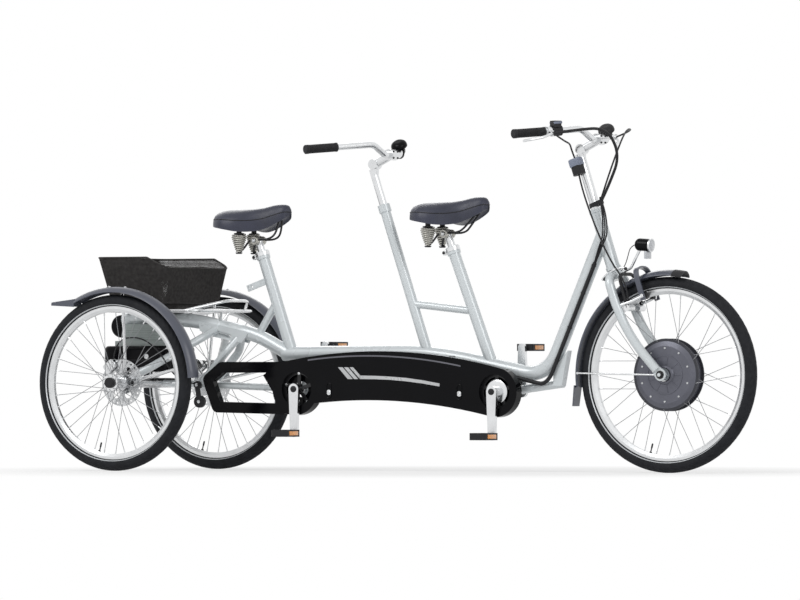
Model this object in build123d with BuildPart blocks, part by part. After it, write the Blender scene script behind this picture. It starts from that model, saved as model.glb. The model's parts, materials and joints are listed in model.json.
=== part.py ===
from build123d import *
from math import cos, radians, sin, sqrt
import os

# A tandem tricycle in millimetres: +X forward, +Y to the riders' left, +Z up.
# The origin is on the floor, below the middle of the overall length.

# Wheels
WHEELBASE = 1955
TRACK = 680
REAR_TYRE_R = 300.5
FRONT_TYRE_R = 326.5
TYRE_W = 47
TYRE_WALL = 4
SHOULDER_DROP = 8
BEAD_DEPTH = 39
RIM_W = 25
RIM_WALL = 9
RIM_DEPTH = 19
RIM_CROWN_W = 12
SPOKE_D = 2
SPOKE_COUNT = 36
SPOKE_SEAT = 6
REAR_LACING = 60
FRONT_LACING = 14
SPOKE_SINK = 0.2
SPOKE_STAGGER = 0.8

# Rear hubs, axle and discs
STUB_R = 8
PIN_CLEARANCE = 0.4
HUB_R = 20
FLANGE_R = 29
FLANGE_OUT = 28
FLANGE_W = 4
HUB_CAP_R = 18
HUB_CAP_OUT = 44
HUB_IN = 52
ROTOR_R = 80
ROTOR_IN = 46
ROTOR_W = 2
ROTOR_SLOT_R = 13
ROTOR_VENT_R = 3.5
ROTOR_ARMS = 6
HOUSING_D = 34
CARRIER_PLATE_W = 13
CARRIER_PLATE_R = 38
HUB_GAP = 7
HUB_CLEAR = 3
CALIPER_LENGTH = 46
CALIPER_HEIGHT = 34
CALIPER_ANGLE = 128
CALIPER_GAP = 6
SPOKE_CLEARANCE = 6

# Hub motor
MOTOR_R = 112
MOTOR_W = 44
MOTOR_FACE_R = 96
MOTOR_FACE_OUT = 30
MOTOR_BOSS_R = 22
MOTOR_BOSS_OUT = 40
MOTOR_FLANGE_R = 121
FRONT_AXLE_R = 6

# Steering
HEAD_TILT = 18.5
FORK_OFFSET = 85
FORK_HALF = 61
BLADE_D = 31
BLADE_KNEE = 190
BLADE_BEND_R = 560
CROWN_BEND_R = 42
AXLE_NUT = 6
CROWN_LOW = 364
CROWN_TALL = 32
CROWN_HALF_DEPTH = 23
DROPOUT_W = 7
DROPOUT_R = 20
HEAD_TUBE_D = 46
HEAD_TUBE_LENGTH = 214
HEADSET_GAP = 1
STEERER_R = 14.3
COLUMN_D = 34
COLUMN_LENGTH = 195
STEM_ARM = 72
STEM_RISE = 26
STEM_PIVOT_R = 17
STEM_PIVOT_W = 38
STEM_CLAMP_R = 19
STEM_CLAMP_W = 44
STEM_PIVOT_UP = 14
STEM_PIVOT_AHEAD = 14

# Handlebars, the same for both riders
BAR_D = 22.2
BAR_FLAT = 50
BAR_KNEE_OUT = 100
BAR_KNEE_BACK = 15
BAR_KNEE_UP = 33
BAR_END_OUT = 320
BAR_END_BACK = 150
BAR_END_UP = 12
BAR_BENDS = (26, 45)
GRIP_D = 31
GRIP_LENGTH = 118
GRIP_CAP = 4
BELL_R = 28
BELL_TALL = 22
BELL_LIFT = 4
BELL_RING_W = 14

# Frame tubes, placed ahead of the rear axle or behind the front axle
BEAM_D = 50
BEAM_REAR_AHEAD = 470
BEAM_REAR_Z = 400
BEAM_HIP_BEHIND = 895
BEAM_HIP_Z = 404
BEAM_BEND_BEHIND = 459
BEAM_BEND_Z = 317
BEAM_RADII = (1500, 110)
DOWN_TUBE_JOIN = 126
SEAT_TUBE_D = 40
POST_D = 27.2
POST_DEPTH = 110
COLLAR_D = 47
COLLAR_TALL = 26
LUG_PLACE = 0.73
LUG_REACH = 95
LUG_TALL = 22
LUG_W = 6
LUG_HOLE_R = 4
LUG_HOLE_BACK = 20
LUG_SLOT_BACK = 7
LUG_SLOT_W = 4
REAR_TUBE_D = 48
REAR_TUBE_Z = 519
REAR_TUBE_END = 172
REAR_TUBE_RADII = (400, 800)
MAST_D = 35
MAST_POST_D = 27
MAST_POST_UP = 128
MAST_POST_DEPTH = 90
BRACE_D = 26
STRUT_D = 27
GUSSET_W = 6
STAY_D = 22
STAY_HALF = 42

# Cranks and pedals
CRANK_LENGTH = 150
REAR_CRANK_AHEAD = 572
REAR_CRANK_Z = 279
FRONT_CRANK_BEHIND = 614
FRONT_CRANK_Z = 270
SHELL_R = 23
SHELL_HALF = 36
SPINDLE_R = 9
ARM_IN = 99
ARM_W = 14
ARM_BOSS_R = 19
ARM_EYE_R = 13
RING_R = 74
RING_IN_R = 50
RING_OUT = 74
RING_W = 5
RING_ARMS = 5
PEDAL_PIN_R = 5
PEDAL_LENGTH = 64
PEDAL_W = 90
PEDAL_THICK = 24
PEDAL_GAP = 7
PEDAL_BARREL_R = 11

# Chain covers, on the right
GUARD_IN = 56
GUARD_OUT = 92
GUARD_WALL = 2.5
GUARD_LOBE_R = 86
GUARD_WINDOW_R = 58
GUARD_HUB_R = 27
CASE_IN = 56
CASE_OUT = 84
CASE_ARM_TALL = 37
GEAR_HUB_AHEAD = 160
GEAR_HUB_Z = 294
GEAR_HUB_R = 38
GEAR_HUB_HALF = 26

# Rear load: carrier, basket, battery
RAIL_D = 10
CARRIER_HALF = 200
CARRIER_REAR = 150
CARRIER_FRONT = 237
CARRIER_CORNER_R = 45
HOOP_AHEAD = 48
HOOP_UP = 34
HOOP_BEND_R = 90
CARRIER_CROSS_RAILS = (-60, 70)
PROP_BACK = 25
PROP_HALF = 30
BASKET_WALL = 3
BASKET_TOP_REAR = 153
BASKET_TOP_FRONT = 135
BASKET_TOP_HALF = 226
BASKET_FLOOR_REAR = 120
BASKET_FLOOR_FRONT = 112
BASKET_FLOOR_HALF = 190
BASKET_TALL = 158
BASKET_CORNER_R = 34
BASKET_DIP = 36
BASKET_DIP_LENGTH = 75
BASKET_LIFT = 22
CRADLE_TALL = 17
BATTERY_TALL = 90
CONTROLLER_TALL = 50

# Fenders
REAR_FENDER_GAP = 27.5
FRONT_FENDER_GAP = 23
FENDER_W = 62
FENDER_CROWN = 18
FENDER_SHEET = 2.5
FENDER_STAY_D = 6
REAR_STAY_D = 11

# Saddles
SADDLE_LENGTH = 285
SADDLE_W = 212
SADDLE_NOSE_W = 58
SADDLE_TALL = 70
RAIL_WIRE_D = 7
SPRING_R = 23
SPRING_FOOT_R = 11
SPRING_TURNS = 5
SPRING_HALF = 50
SPRING_BITE = 7

# Where the axles stand
REAR_AXLE_X = -(WHEELBASE + FRONT_TYRE_R - REAR_TYRE_R) / 2
FRONT_AXLE_X = REAR_AXLE_X + WHEELBASE
SIDES = (("right", -1), ("left", 1))


def rear(ahead, y, z):
    """A point given by its distance ahead of the rear axle."""
    return Vector(REAR_AXLE_X + ahead, y, z)


def front(behind, y, z):
    """A point given by its distance behind the front axle."""
    return Vector(FRONT_AXLE_X - behind, y, z)


def side_plane(y):
    """The plane of a side view at y, with X to its right and Z up, facing the right-hand side."""
    return Plane(origin=(0, y, 0), x_dir=(1, 0, 0), z_dir=(0, -1, 0))


def axle_plane(centre, angle=0):
    """A plane through an axle: its own x is the radius at that angle above forward, its own y is Y."""
    c = cos(radians(angle))
    s = sin(radians(angle))
    return Plane(origin=centre, x_dir=(c, 0, s), z_dir=(-s, 0, c))


def flat(point):
    """The side-view coordinates of a point."""
    return (point.X, point.Z)


def rod(start, end, diameter):
    """A straight round bar between two points."""
    with BuildPart() as bar:
        with BuildSketch(Plane(start, z_dir=end - start)):
            Circle(diameter / 2)
        extrude(amount=(end - start).length)
    return bar.part


def bent_rod(points, radii, diameter):
    """A round bar along straight runs joined by tangent arcs."""
    with BuildPart() as bar:
        with BuildLine() as path:
            FilletPolyline(*points, radius=radii)
        with BuildSketch(Plane(points[0], z_dir=points[1] - points[0])):
            Circle(diameter / 2)
        sweep(path=path.wire())
    return bar.part


def make_link(start, start_r, end, end_r):
    """The side-view outline of a bar with round ends of two sizes."""
    with BuildSketch() as outline:
        with Locations(flat(start)):
            Circle(start_r)
        with Locations(flat(end)):
            Circle(end_r)
        make_hull(outline.sketch_local.edges())
    return outline.sketch


def save(piece, name):
    """Label a finished piece and write it."""
    piece.label = name
    export_step(piece, f"parts/{name}.step")


os.makedirs("parts", exist_ok=True)

front_axle = front(0, 0, FRONT_TYRE_R)
tilt_s = sin(radians(HEAD_TILT))
tilt_c = cos(radians(HEAD_TILT))
steer_up = Vector(-tilt_s, 0, tilt_c)
steer_ahead = Vector(tilt_c, 0, tilt_s)
steer_foot = front_axle - steer_ahead * FORK_OFFSET
steer = Plane(steer_foot, x_dir=steer_ahead, z_dir=steer_up)


def steered(ahead, left, up):
    """A point in the steering's own frame: ahead of its axis, to the left, and up along it."""
    return steer_foot + steer_ahead * ahead + Vector(0, left, 0) + steer_up * up


# Wheels: tyre, rim and laced spokes
def make_tyre(centre, outer_r):
    shoulder = outer_r - TYRE_W / 2 - SHOULDER_DROP
    outside = sqrt((TYRE_W / 2) ** 2 - SHOULDER_DROP ** 2)
    inside = sqrt((TYRE_W / 2 - TYRE_WALL) ** 2 - SHOULDER_DROP ** 2)
    bead = outer_r - BEAD_DEPTH
    with BuildPart() as tyre:
        with BuildSketch(axle_plane(centre)):
            with BuildLine():
                ThreePointArc((shoulder, outside), (outer_r, 0), (shoulder, -outside))
                Polyline((shoulder, -outside), (bead, -RIM_W / 2), (bead, TYRE_WALL - RIM_W / 2), (shoulder, -inside))
                ThreePointArc((shoulder, -inside), (outer_r - TYRE_WALL, 0), (shoulder, inside))
                Polyline((shoulder, inside), (bead, RIM_W / 2 - TYRE_WALL), (bead, RIM_W / 2), (shoulder, outside))
            make_face()
        revolve(axis=Axis(centre, (0, 1, 0)))
    return tyre.part


def make_rim(centre, outer_r):
    bead = outer_r - BEAD_DEPTH
    with BuildPart() as rim:
        with BuildSketch(axle_plane(centre)):
            with BuildLine():
                Polyline(
                    (bead, RIM_W / 2),
                    (bead - RIM_WALL, RIM_W / 2),
                    (bead - RIM_DEPTH, RIM_CROWN_W / 2),
                    (bead - RIM_DEPTH, -RIM_CROWN_W / 2),
                    (bead - RIM_WALL, -RIM_W / 2),
                    (bead, -RIM_W / 2),
                    close=True,
                )
            make_face()
        revolve(axis=Axis(centre, (0, 1, 0)))
    return rim.part


def make_spokes(centre, outer_r, flange_r, flange_out, lacing, seats):
    """Spokes from both faces of both flanges to the rim, leading and trailing by turns, cut to meet their seats."""
    rim_r = outer_r - BEAD_DEPTH - RIM_DEPTH
    with BuildPart() as spokes:
        for number in range(SPOKE_COUNT):
            side = 1 if number % 2 else -1
            lead = 1 if number // 2 % 2 else -1
            rim_angle = radians(number * 360 / SPOKE_COUNT)
            hub_angle = rim_angle + lead * radians(lacing)
            hub_y = side * flange_out + lead * (FLANGE_W / 2 + SPOKE_D / 2 - SPOKE_SINK)
            rim_y = side * RIM_CROWN_W / 4 + lead * SPOKE_STAGGER
            hub_end = centre + Vector(flange_r * cos(hub_angle), hub_y, flange_r * sin(hub_angle))
            rim_end = centre + Vector(rim_r * cos(rim_angle), rim_y, rim_r * sin(rim_angle))
            with BuildSketch(Plane(hub_end, z_dir=rim_end - hub_end)):
                Circle(SPOKE_D / 2)
        extrude(amount=(rim_end - hub_end).length)
        for seat in seats:
            add(seat, mode=Mode.SUBTRACT)
    return spokes.part


def make_rear_hub(centre, side):
    """A hub turned to face outwards, with its disc on the inner end and a blind bore for the stub axle."""
    plane = Plane(centre, x_dir=(1, 0, 0), z_dir=(0, side, 0))
    stub_end = FLANGE_OUT + HUB_CLEAR
    # columns: radius, inner end, outer end, measured outwards from the wheel's middle
    steps = (
        (HUB_R * 0.8, -HUB_IN, -FLANGE_OUT),
        (HUB_R, -FLANGE_OUT, FLANGE_OUT),
        (FLANGE_R, -FLANGE_OUT - FLANGE_W, -FLANGE_OUT),
        (FLANGE_R, FLANGE_OUT, FLANGE_OUT + FLANGE_W),
        (HUB_CAP_R, FLANGE_OUT, HUB_CAP_OUT),
        (ROTOR_R, -ROTOR_IN - ROTOR_W / 2, -ROTOR_IN + ROTOR_W / 2),
    )
    with BuildPart() as hub:
        for radius, inner, outer in steps:
            with BuildSketch(plane.offset(inner)):
                Circle(radius)
            extrude(amount=outer - inner)
        cap_rim = hub.faces().sort_by(Axis.Y)[-1 if side > 0 else 0].edges()
        fillet(cap_rim, HUB_CAP_R / 4)
        with BuildSketch(plane.offset(-ROTOR_IN - ROTOR_W)):
            with PolarLocations((HUB_R + ROTOR_R) / 2 - ROTOR_VENT_R, ROTOR_ARMS):
                Circle(ROTOR_SLOT_R)
            with PolarLocations(ROTOR_R - 2.5 * ROTOR_VENT_R, 4 * ROTOR_ARMS):
                Circle(ROTOR_VENT_R)
        extrude(amount=2 * ROTOR_W, mode=Mode.SUBTRACT)
        with BuildSketch(plane.offset(-HUB_IN)):
            Circle(STUB_R + PIN_CLEARANCE)
        extrude(amount=HUB_IN + stub_end + HUB_CLEAR, mode=Mode.SUBTRACT)
    return hub.part


def make_motor(centre):
    """A hub motor: a drum with two spoke flanges, dished faces and bosses over the axle."""
    with BuildPart() as motor:
        with BuildSketch(axle_plane(centre)):
            with BuildLine():
                Polyline(
                    (FRONT_AXLE_R + PIN_CLEARANCE, 0),
                    (FRONT_AXLE_R + PIN_CLEARANCE, MOTOR_BOSS_OUT),
                    (MOTOR_BOSS_R, MOTOR_BOSS_OUT),
                    (MOTOR_BOSS_R, MOTOR_FACE_OUT),
                    (MOTOR_FACE_R, MOTOR_FACE_OUT),
                    (MOTOR_R, MOTOR_W / 2),
                    (MOTOR_FLANGE_R, MOTOR_W / 2),
                    (MOTOR_FLANGE_R, MOTOR_W / 2 - FLANGE_W),
                    (MOTOR_R, MOTOR_W / 2 - FLANGE_W),
                    (MOTOR_R, 0),
                    close=True,
                )
            make_face()
            mirror(about=Plane.XZ)
        revolve(axis=Axis(centre, (0, 1, 0)))
    return motor.part


for side_name, side in SIDES:
    wheel_at = rear(0, side * TRACK / 2, REAR_TYRE_R)
    rim_piece = make_rim(wheel_at, REAR_TYRE_R)
    hub_piece = make_rear_hub(wheel_at, side)
    spoke_piece = make_spokes(
        wheel_at, REAR_TYRE_R, FLANGE_R - SPOKE_SEAT, FLANGE_OUT + FLANGE_W / 2, REAR_LACING, (rim_piece, hub_piece)
    )
    save(make_tyre(wheel_at, REAR_TYRE_R), f"{side_name}_tyre")
    save(rim_piece, f"{side_name}_rim")
    save(hub_piece, f"{side_name}_hub")
    save(spoke_piece, f"{side_name}_spokes")

front_rim = make_rim(front_axle, FRONT_TYRE_R)
motor_piece = make_motor(front_axle)
front_spokes = make_spokes(
    front_axle, FRONT_TYRE_R, MOTOR_FLANGE_R - SPOKE_SEAT, (MOTOR_W - FLANGE_W) / 2, FRONT_LACING, (front_rim, motor_piece)
)
save(make_tyre(front_axle, FRONT_TYRE_R), "front_tyre")
save(front_rim, "front_rim")
save(motor_piece, "hub_motor")
save(front_spokes, "front_spokes")

# Head tube, main beam and down tube
head_low = CROWN_LOW + CROWN_TALL + HEADSET_GAP
head_high = head_low + HEAD_TUBE_LENGTH
head_outer = rod(steered(0, 0, head_low), steered(0, 0, head_high), HEAD_TUBE_D)
cup_tall = HEAD_TUBE_D / 4
with BuildPart() as head_tube:
    add(head_outer)
    for level in (head_low, head_high - cup_tall):
        add(rod(steered(0, 0, level), steered(0, 0, level + cup_tall), HEAD_TUBE_D + 6))
    with BuildSketch(steer.offset(head_low)):
        Circle(STEERER_R + PIN_CLEARANCE)
    extrude(amount=HEAD_TUBE_LENGTH, mode=Mode.SUBTRACT)
save(head_tube.part, "head_tube")

beam_points = (
    rear(BEAM_REAR_AHEAD, 0, BEAM_REAR_Z),
    front(BEAM_HIP_BEHIND, 0, BEAM_HIP_Z),
    front(BEAM_BEND_BEHIND, 0, BEAM_BEND_Z),
    steered(0, 0, head_low + DOWN_TUBE_JOIN),
)
with BuildPart() as main_beam:
    add(bent_rod(beam_points, BEAM_RADII, BEAM_D))
    add(head_outer, mode=Mode.SUBTRACT)
save(main_beam.part, "main_beam")

# Rear tube, from the beam's end back over the axle
rear_tube_points = (
    rear(490, 0, BEAM_REAR_Z),
    rear(365, 0, 464),
    rear(95, 0, REAR_TUBE_Z),
    rear(-REAR_TUBE_END, 0, REAR_TUBE_Z),
)
with BuildPart() as rear_tube:
    add(bent_rod(rear_tube_points, REAR_TUBE_RADII, REAR_TUBE_D))
    add(main_beam.part, mode=Mode.SUBTRACT)
save(rear_tube.part, "rear_tube")

# Seat tubes: each has a bore for its post and a collar round its head
# columns: foot and head of the tube's line
rear_seat_line = (rear(503, 0, BEAM_REAR_Z), rear(381, 0, 749))
front_seat_line = (front(676, 0, 372), front(827, 0, 759))


def make_seat_tube(line, neighbours, welded):
    foot, head = line
    along = (head - foot).normalized()
    with BuildPart() as tube:
        add(rod(foot, head, SEAT_TUBE_D))
        add(rod(head - along * COLLAR_TALL, head, COLLAR_D))
        for piece in welded:
            add(piece)
        with BuildSketch(Plane(head, z_dir=along)):
            Circle(POST_D / 2)
        extrude(amount=-POST_DEPTH, mode=Mode.SUBTRACT)
        for neighbour in neighbours:
            add(neighbour, mode=Mode.SUBTRACT)
    return tube.part


def make_lug(line, along_share):
    """A flat bar welded square to the back of a seat tube, with a hole and a slot near its end."""
    foot, head = line
    along = (head - foot).normalized()
    back = Vector(-along.Z, 0, along.X)
    root = foot + (head - foot) * along_share
    with BuildPart() as lug:
        with BuildSketch(Plane(root, x_dir=back, z_dir=(0, -1, 0))):
            with Locations((LUG_REACH / 2, 0)):
                Rectangle(LUG_REACH, LUG_TALL)
            with Locations((LUG_REACH - LUG_HOLE_BACK, 0)):
                Circle(LUG_HOLE_R, mode=Mode.SUBTRACT)
            with Locations((LUG_REACH - LUG_SLOT_BACK, 0)):
                Rectangle(LUG_SLOT_W, LUG_TALL * 0.7, mode=Mode.SUBTRACT)
        extrude(amount=LUG_W / 2, both=True)
    return lug.part


seat_brace = rod(rear(441, 0, 578), rear(366, 0, 462), BRACE_D)
accessory_lug = make_lug(rear_seat_line, LUG_PLACE)
rear_seat_tube = make_seat_tube(rear_seat_line, (main_beam.part, rear_tube.part), (seat_brace, accessory_lug))
front_seat_tube = make_seat_tube(front_seat_line, (main_beam.part,), ())
save(rear_seat_tube, "rear_seat_tube")
save(front_seat_tube, "front_seat_tube")

# Bar mast with its brace to the front seat tube
mast_foot = rear(1033, 0, BEAM_HIP_Z)
mast_head = rear(861, 0, 904)
mast_along = (mast_head - mast_foot).normalized()
mast_ahead = Vector(mast_along.Z, 0, -mast_along.X)
with BuildPart() as bar_mast:
    add(rod(mast_foot, mast_head, MAST_D))
    add(rod(mast_head - mast_along * COLLAR_TALL, mast_head, MAST_D + 8))
    add(rod(rear(984, 0, 567), front(740, 0, 542), BRACE_D))
    with BuildSketch(Plane(mast_head, z_dir=mast_along)):
        Circle(MAST_POST_D / 2)
    extrude(amount=-MAST_POST_DEPTH, mode=Mode.SUBTRACT)
    add(main_beam.part, mode=Mode.SUBTRACT)
    add(front_seat_tube, mode=Mode.SUBTRACT)
save(bar_mast.part, "bar_mast")

# Brackets: each hangs a crank shell under the beam
rear_crank_at = rear(REAR_CRANK_AHEAD, 0, REAR_CRANK_Z)
front_crank_at = front(FRONT_CRANK_BEHIND, 0, FRONT_CRANK_Z)
WEB_HALF = 15


def crank_shell(at):
    with BuildPart() as shell:
        with BuildSketch(side_plane(-SHELL_HALF)):
            with Locations(flat(at)):
                Circle(SHELL_R)
        extrude(amount=-2 * SHELL_HALF)
    return shell.part


def crank_bore(at):
    with BuildPart() as bore:
        with BuildSketch(side_plane(-SHELL_HALF)):
            with Locations(flat(at)):
                Circle(SPINDLE_R + PIN_CLEARANCE)
        extrude(amount=-2 * SHELL_HALF)
    return bore.part


def web(points):
    """A plate in the middle plane with the given side-view corners."""
    with BuildPart() as plate:
        with BuildSketch(side_plane(-WEB_HALF)):
            with BuildLine():
                Polyline(*[flat(point) for point in points], close=True)
            make_face()
        extrude(amount=-2 * WEB_HALF)
    return plate.part


STRUT_LOW_D = 28
strut_front = front(398, 0, 298)
with BuildPart() as front_bracket:
    add(crank_shell(front_crank_at))
    add(web((front(655, 0, 360), front(575, 0, 345), front(592, 0, FRONT_CRANK_Z), front(636, 0, FRONT_CRANK_Z))))
    add(rod(front_crank_at, strut_front, STRUT_LOW_D))
    add(web((front(430, 0, 345), front(375, 0, 408), front(398, 0, 290), front(430, 0, 290))))
    add(crank_bore(front_crank_at), mode=Mode.SUBTRACT)
    add(main_beam.part, mode=Mode.SUBTRACT)
save(front_bracket.part, "front_bracket")

with BuildPart() as rear_bracket:
    add(crank_shell(rear_crank_at))
    add(web((rear(535, 0, 395), rear(615, 0, 395), rear(592, 0, REAR_CRANK_Z), rear(552, 0, REAR_CRANK_Z))))
    for _, side in SIDES:
        stay_points = (
            rear(REAR_CRANK_AHEAD, side * SHELL_HALF * 0.6, REAR_CRANK_Z),
            rear(REAR_CRANK_AHEAD - 110, side * STAY_HALF, REAR_CRANK_Z + 4),
            rear(0, side * STAY_HALF, REAR_TYRE_R),
        )
        add(bent_rod(stay_points, (120,), STAY_D))
    add(crank_bore(rear_crank_at), mode=Mode.SUBTRACT)
    add(main_beam.part, mode=Mode.SUBTRACT)
    housing_half = TRACK / 2 - HUB_IN - HUB_GAP
    add(rod(rear(0, -housing_half, REAR_TYRE_R), rear(0, housing_half, REAR_TYRE_R), HOUSING_D), mode=Mode.SUBTRACT)
save(rear_bracket.part, "rear_bracket")

# Axle housing with an end plate and a stub axle on each side
with BuildPart() as axle_housing:
    add(rod(rear(0, -housing_half, REAR_TYRE_R), rear(0, housing_half, REAR_TYRE_R), HOUSING_D))
    for _, side in SIDES:
        plate_in = side * (housing_half - CARRIER_PLATE_W)
        plate_out = side * housing_half
        stub_out = side * (TRACK / 2 + FLANGE_OUT + HUB_CLEAR)
        add(rod(rear(0, plate_in, REAR_TYRE_R), rear(0, plate_out, REAR_TYRE_R), 2 * CARRIER_PLATE_R))
        add(rod(rear(0, plate_out, REAR_TYRE_R), rear(0, stub_out, REAR_TYRE_R), 2 * STUB_R))
save(axle_housing.part, "axle_housing")

# Gussets beside the rear tube and the struts that run down from them
gusset_corners = ((142, 515), (342, 472), (314, 437), (187, 462), (148, 480))
with BuildPart() as axle_struts:
    for _, side in SIDES:
        inner = side * (REAR_TUBE_D / 2 - 0.6 * GUSSET_W)
        with BuildSketch(Plane(origin=(0, inner, 0), x_dir=(1, 0, 0), z_dir=(0, -1, 0))):
            with BuildLine():
                Polyline(*[flat(rear(x, 0, z)) for x, z in gusset_corners], close=True)
            make_face()
            with Locations(flat(rear(238, 0, 468))):
                SlotOverall(70, 15, rotation=-13, mode=Mode.SUBTRACT)
        extrude(amount=-side * GUSSET_W)
        plate_y = side * (housing_half - CARRIER_PLATE_W)
        long_strut = (
            rear(212, 0, 490),
            rear(190, side * 80, 455),
            rear(70, plate_y - side * 40, 352),
            rear(8, plate_y, REAR_TYRE_R + 12),
        )
        add(bent_rod(long_strut, (50, 60), STRUT_D))
        short_strut = (
            rear(305, 0, 474),
            rear(265, side * STAY_HALF, 408),
            rear(GEAR_HUB_AHEAD, side * STAY_HALF, GEAR_HUB_Z),
        )
        add(bent_rod(short_strut, (60,), STRUT_D))
    split(bisect_by=Plane.XY.offset(GEAR_HUB_Z), keep=Keep.TOP)
    for neighbour in (rear_tube.part, axle_housing.part, rear_bracket.part):
        add(neighbour, mode=Mode.SUBTRACT)
save(axle_struts.part, "axle_struts")

# Gear hub between the chainstays
with BuildPart() as gear_hub:
    for half, radius in ((STAY_HALF, STUB_R), (GEAR_HUB_HALF, GEAR_HUB_R)):
        hub_line = (rear(GEAR_HUB_AHEAD, -half, GEAR_HUB_Z), rear(GEAR_HUB_AHEAD, half, GEAR_HUB_Z))
        add(rod(*hub_line, 2 * radius))
    for neighbour in (rear_bracket.part, axle_struts.part):
        add(neighbour, mode=Mode.SUBTRACT)
save(gear_hub.part, "gear_hub")


# Crank sets: spindle, two arms a half turn apart, a spider and ring on the right, and the pedal pins
def make_crank(at):
    pin_end = ARM_IN + ARM_W + PEDAL_GAP + PEDAL_W * 0.9
    with BuildPart() as crank:
        add(rod(at - Vector(0, ARM_IN + ARM_W, 0), at + Vector(0, ARM_IN + ARM_W, 0), 2 * SPINDLE_R))
        for _, side in SIDES:
            eye = at + Vector(0, 0, side * CRANK_LENGTH)
            with BuildSketch(side_plane(side * (ARM_IN + ARM_W / 2) - ARM_W / 2)):
                add(make_link(at, ARM_BOSS_R, eye, ARM_EYE_R))
            extrude(amount=-ARM_W)
            add(rod(eye + Vector(0, side * ARM_IN, 0), eye + Vector(0, side * pin_end, 0), 2 * PEDAL_PIN_R))
        with BuildSketch(side_plane(-RING_OUT)):
            with Locations(flat(at)):
                Circle(RING_R)
                Circle(RING_IN_R, mode=Mode.SUBTRACT)
                Circle(ARM_BOSS_R)
                with PolarLocations((RING_IN_R + ARM_BOSS_R) / 2, RING_ARMS, start_angle=90):
                    Rectangle(RING_IN_R - ARM_BOSS_R + 2 * RING_W, ARM_EYE_R)
        extrude(amount=-RING_W)
        add(rod(at - Vector(0, ARM_IN, 0), at - Vector(0, RING_OUT - RING_W, 0), 2 * ARM_BOSS_R))
    return crank.part


def make_pedal(at, side):
    """A platform with a barrel over its pin and two open slots."""
    inner = ARM_IN + ARM_W + PEDAL_GAP
    middle = at + Vector(0, side * (inner + PEDAL_W / 2), 0)
    slot_w = PEDAL_LENGTH / 2 - PEDAL_BARREL_R - 8
    with BuildPart() as pedal:
        with BuildSketch(Plane(middle - Vector(0, 0, PEDAL_THICK / 2))):
            RectangleRounded(PEDAL_LENGTH, PEDAL_W, 8)
            with GridLocations(2 * PEDAL_BARREL_R + slot_w, 0, 2, 1):
                RectangleRounded(slot_w, PEDAL_W - 16, slot_w / 4, mode=Mode.SUBTRACT)
        extrude(amount=PEDAL_THICK)
        inner_end = at + Vector(0, side * inner, 0)
        outer_end = inner_end + Vector(0, side * PEDAL_W, 0)
        pin_end = inner_end + Vector(0, side * (PEDAL_W * 0.9 + HUB_CLEAR), 0)
        add(rod(inner_end, outer_end, 2 * PEDAL_BARREL_R))
        add(rod(inner_end, pin_end, 2 * (PEDAL_PIN_R + PIN_CLEARANCE)), mode=Mode.SUBTRACT)
    return pedal.part


for crank_name, crank_at in (("front", front_crank_at), ("rear", rear_crank_at)):
    save(make_crank(crank_at), f"{crank_name}_crank")
    for side_name, side in SIDES:
        pedal_at = crank_at + Vector(0, 0, side * CRANK_LENGTH)
        save(make_pedal(pedal_at, side), f"{crank_name}_{side_name}_pedal")

# Chain guard: a hollow cover along the right of the beam, with a round window at each crank
with BuildPart() as guard_block:
    with BuildSketch(side_plane(-GUARD_OUT)):
        with BuildLine():
            top_rear = flat(rear(498, 0, 368))
            top_front = flat(front(580, 0, 346))
            ThreePointArc(top_rear, flat(rear(870, 0, 407)), top_front)
            nose = flat(front_crank_at + Vector(GUARD_LOBE_R, 0, 0))
            low_front = flat(front_crank_at + Vector(0, 0, -GUARD_LOBE_R))
            ThreePointArc(top_front, nose, low_front)
            low_rear = flat(rear(642, 0, 231))
            ThreePointArc(low_front, flat(rear(985, 0, 237)), low_rear)
            heel = flat(rear(478, 0, 270))
            ThreePointArc(low_rear, flat(rear_crank_at + Vector(-10, 0, -GUARD_LOBE_R - 3)), heel)
            Polyline(heel, flat(rear(440, 0, 326)), top_rear)
        make_face()
    extrude(amount=GUARD_IN - GUARD_OUT)
with BuildPart() as chain_guard:
    add(guard_block.part)
    offset(amount=-GUARD_WALL, mode=Mode.SUBTRACT)
    for crank_at in (front_crank_at, rear_crank_at):
        with BuildSketch(side_plane(-GUARD_OUT)):
            with Locations(flat(crank_at)):
                Circle(GUARD_WINDOW_R)
        extrude(amount=-GUARD_WALL * 2, mode=Mode.SUBTRACT)
        with BuildSketch(side_plane(-GUARD_IN)):
            with Locations(flat(crank_at)):
                Circle(GUARD_HUB_R)
        extrude(amount=GUARD_WALL * 2, mode=Mode.SUBTRACT)
    for ahead in (660, 900, 1150):
        add(rod(rear(ahead, -GUARD_IN, 385), rear(ahead, -BEAM_D / 4, 385), 12))
    add(main_beam.part, mode=Mode.SUBTRACT)
save(chain_guard.part, "chain_guard")

# Rear chain case: a loop from the guard back round the chain's end
case_corners = ((520, 372), (262, 372), (191, 318), (237, 199), (520, 193))
with BuildPart() as chain_case:
    with BuildSketch(side_plane(-CASE_OUT)) as case_outline:
        with BuildLine():
            FilletPolyline(*[flat(rear(x, 0, z)) for x, z in case_corners], radius=(30, 25, 25), close=False)
            Line(flat(rear(520, 0, 193)), flat(rear(520, 0, 372)))
        make_face()
        offset(amount=-CASE_ARM_TALL, kind=Kind.INTERSECTION, mode=Mode.SUBTRACT)
    extrude(amount=CASE_IN - CASE_OUT)
    add(guard_block.part, mode=Mode.SUBTRACT)
save(chain_case.part, "chain_case")

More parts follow.
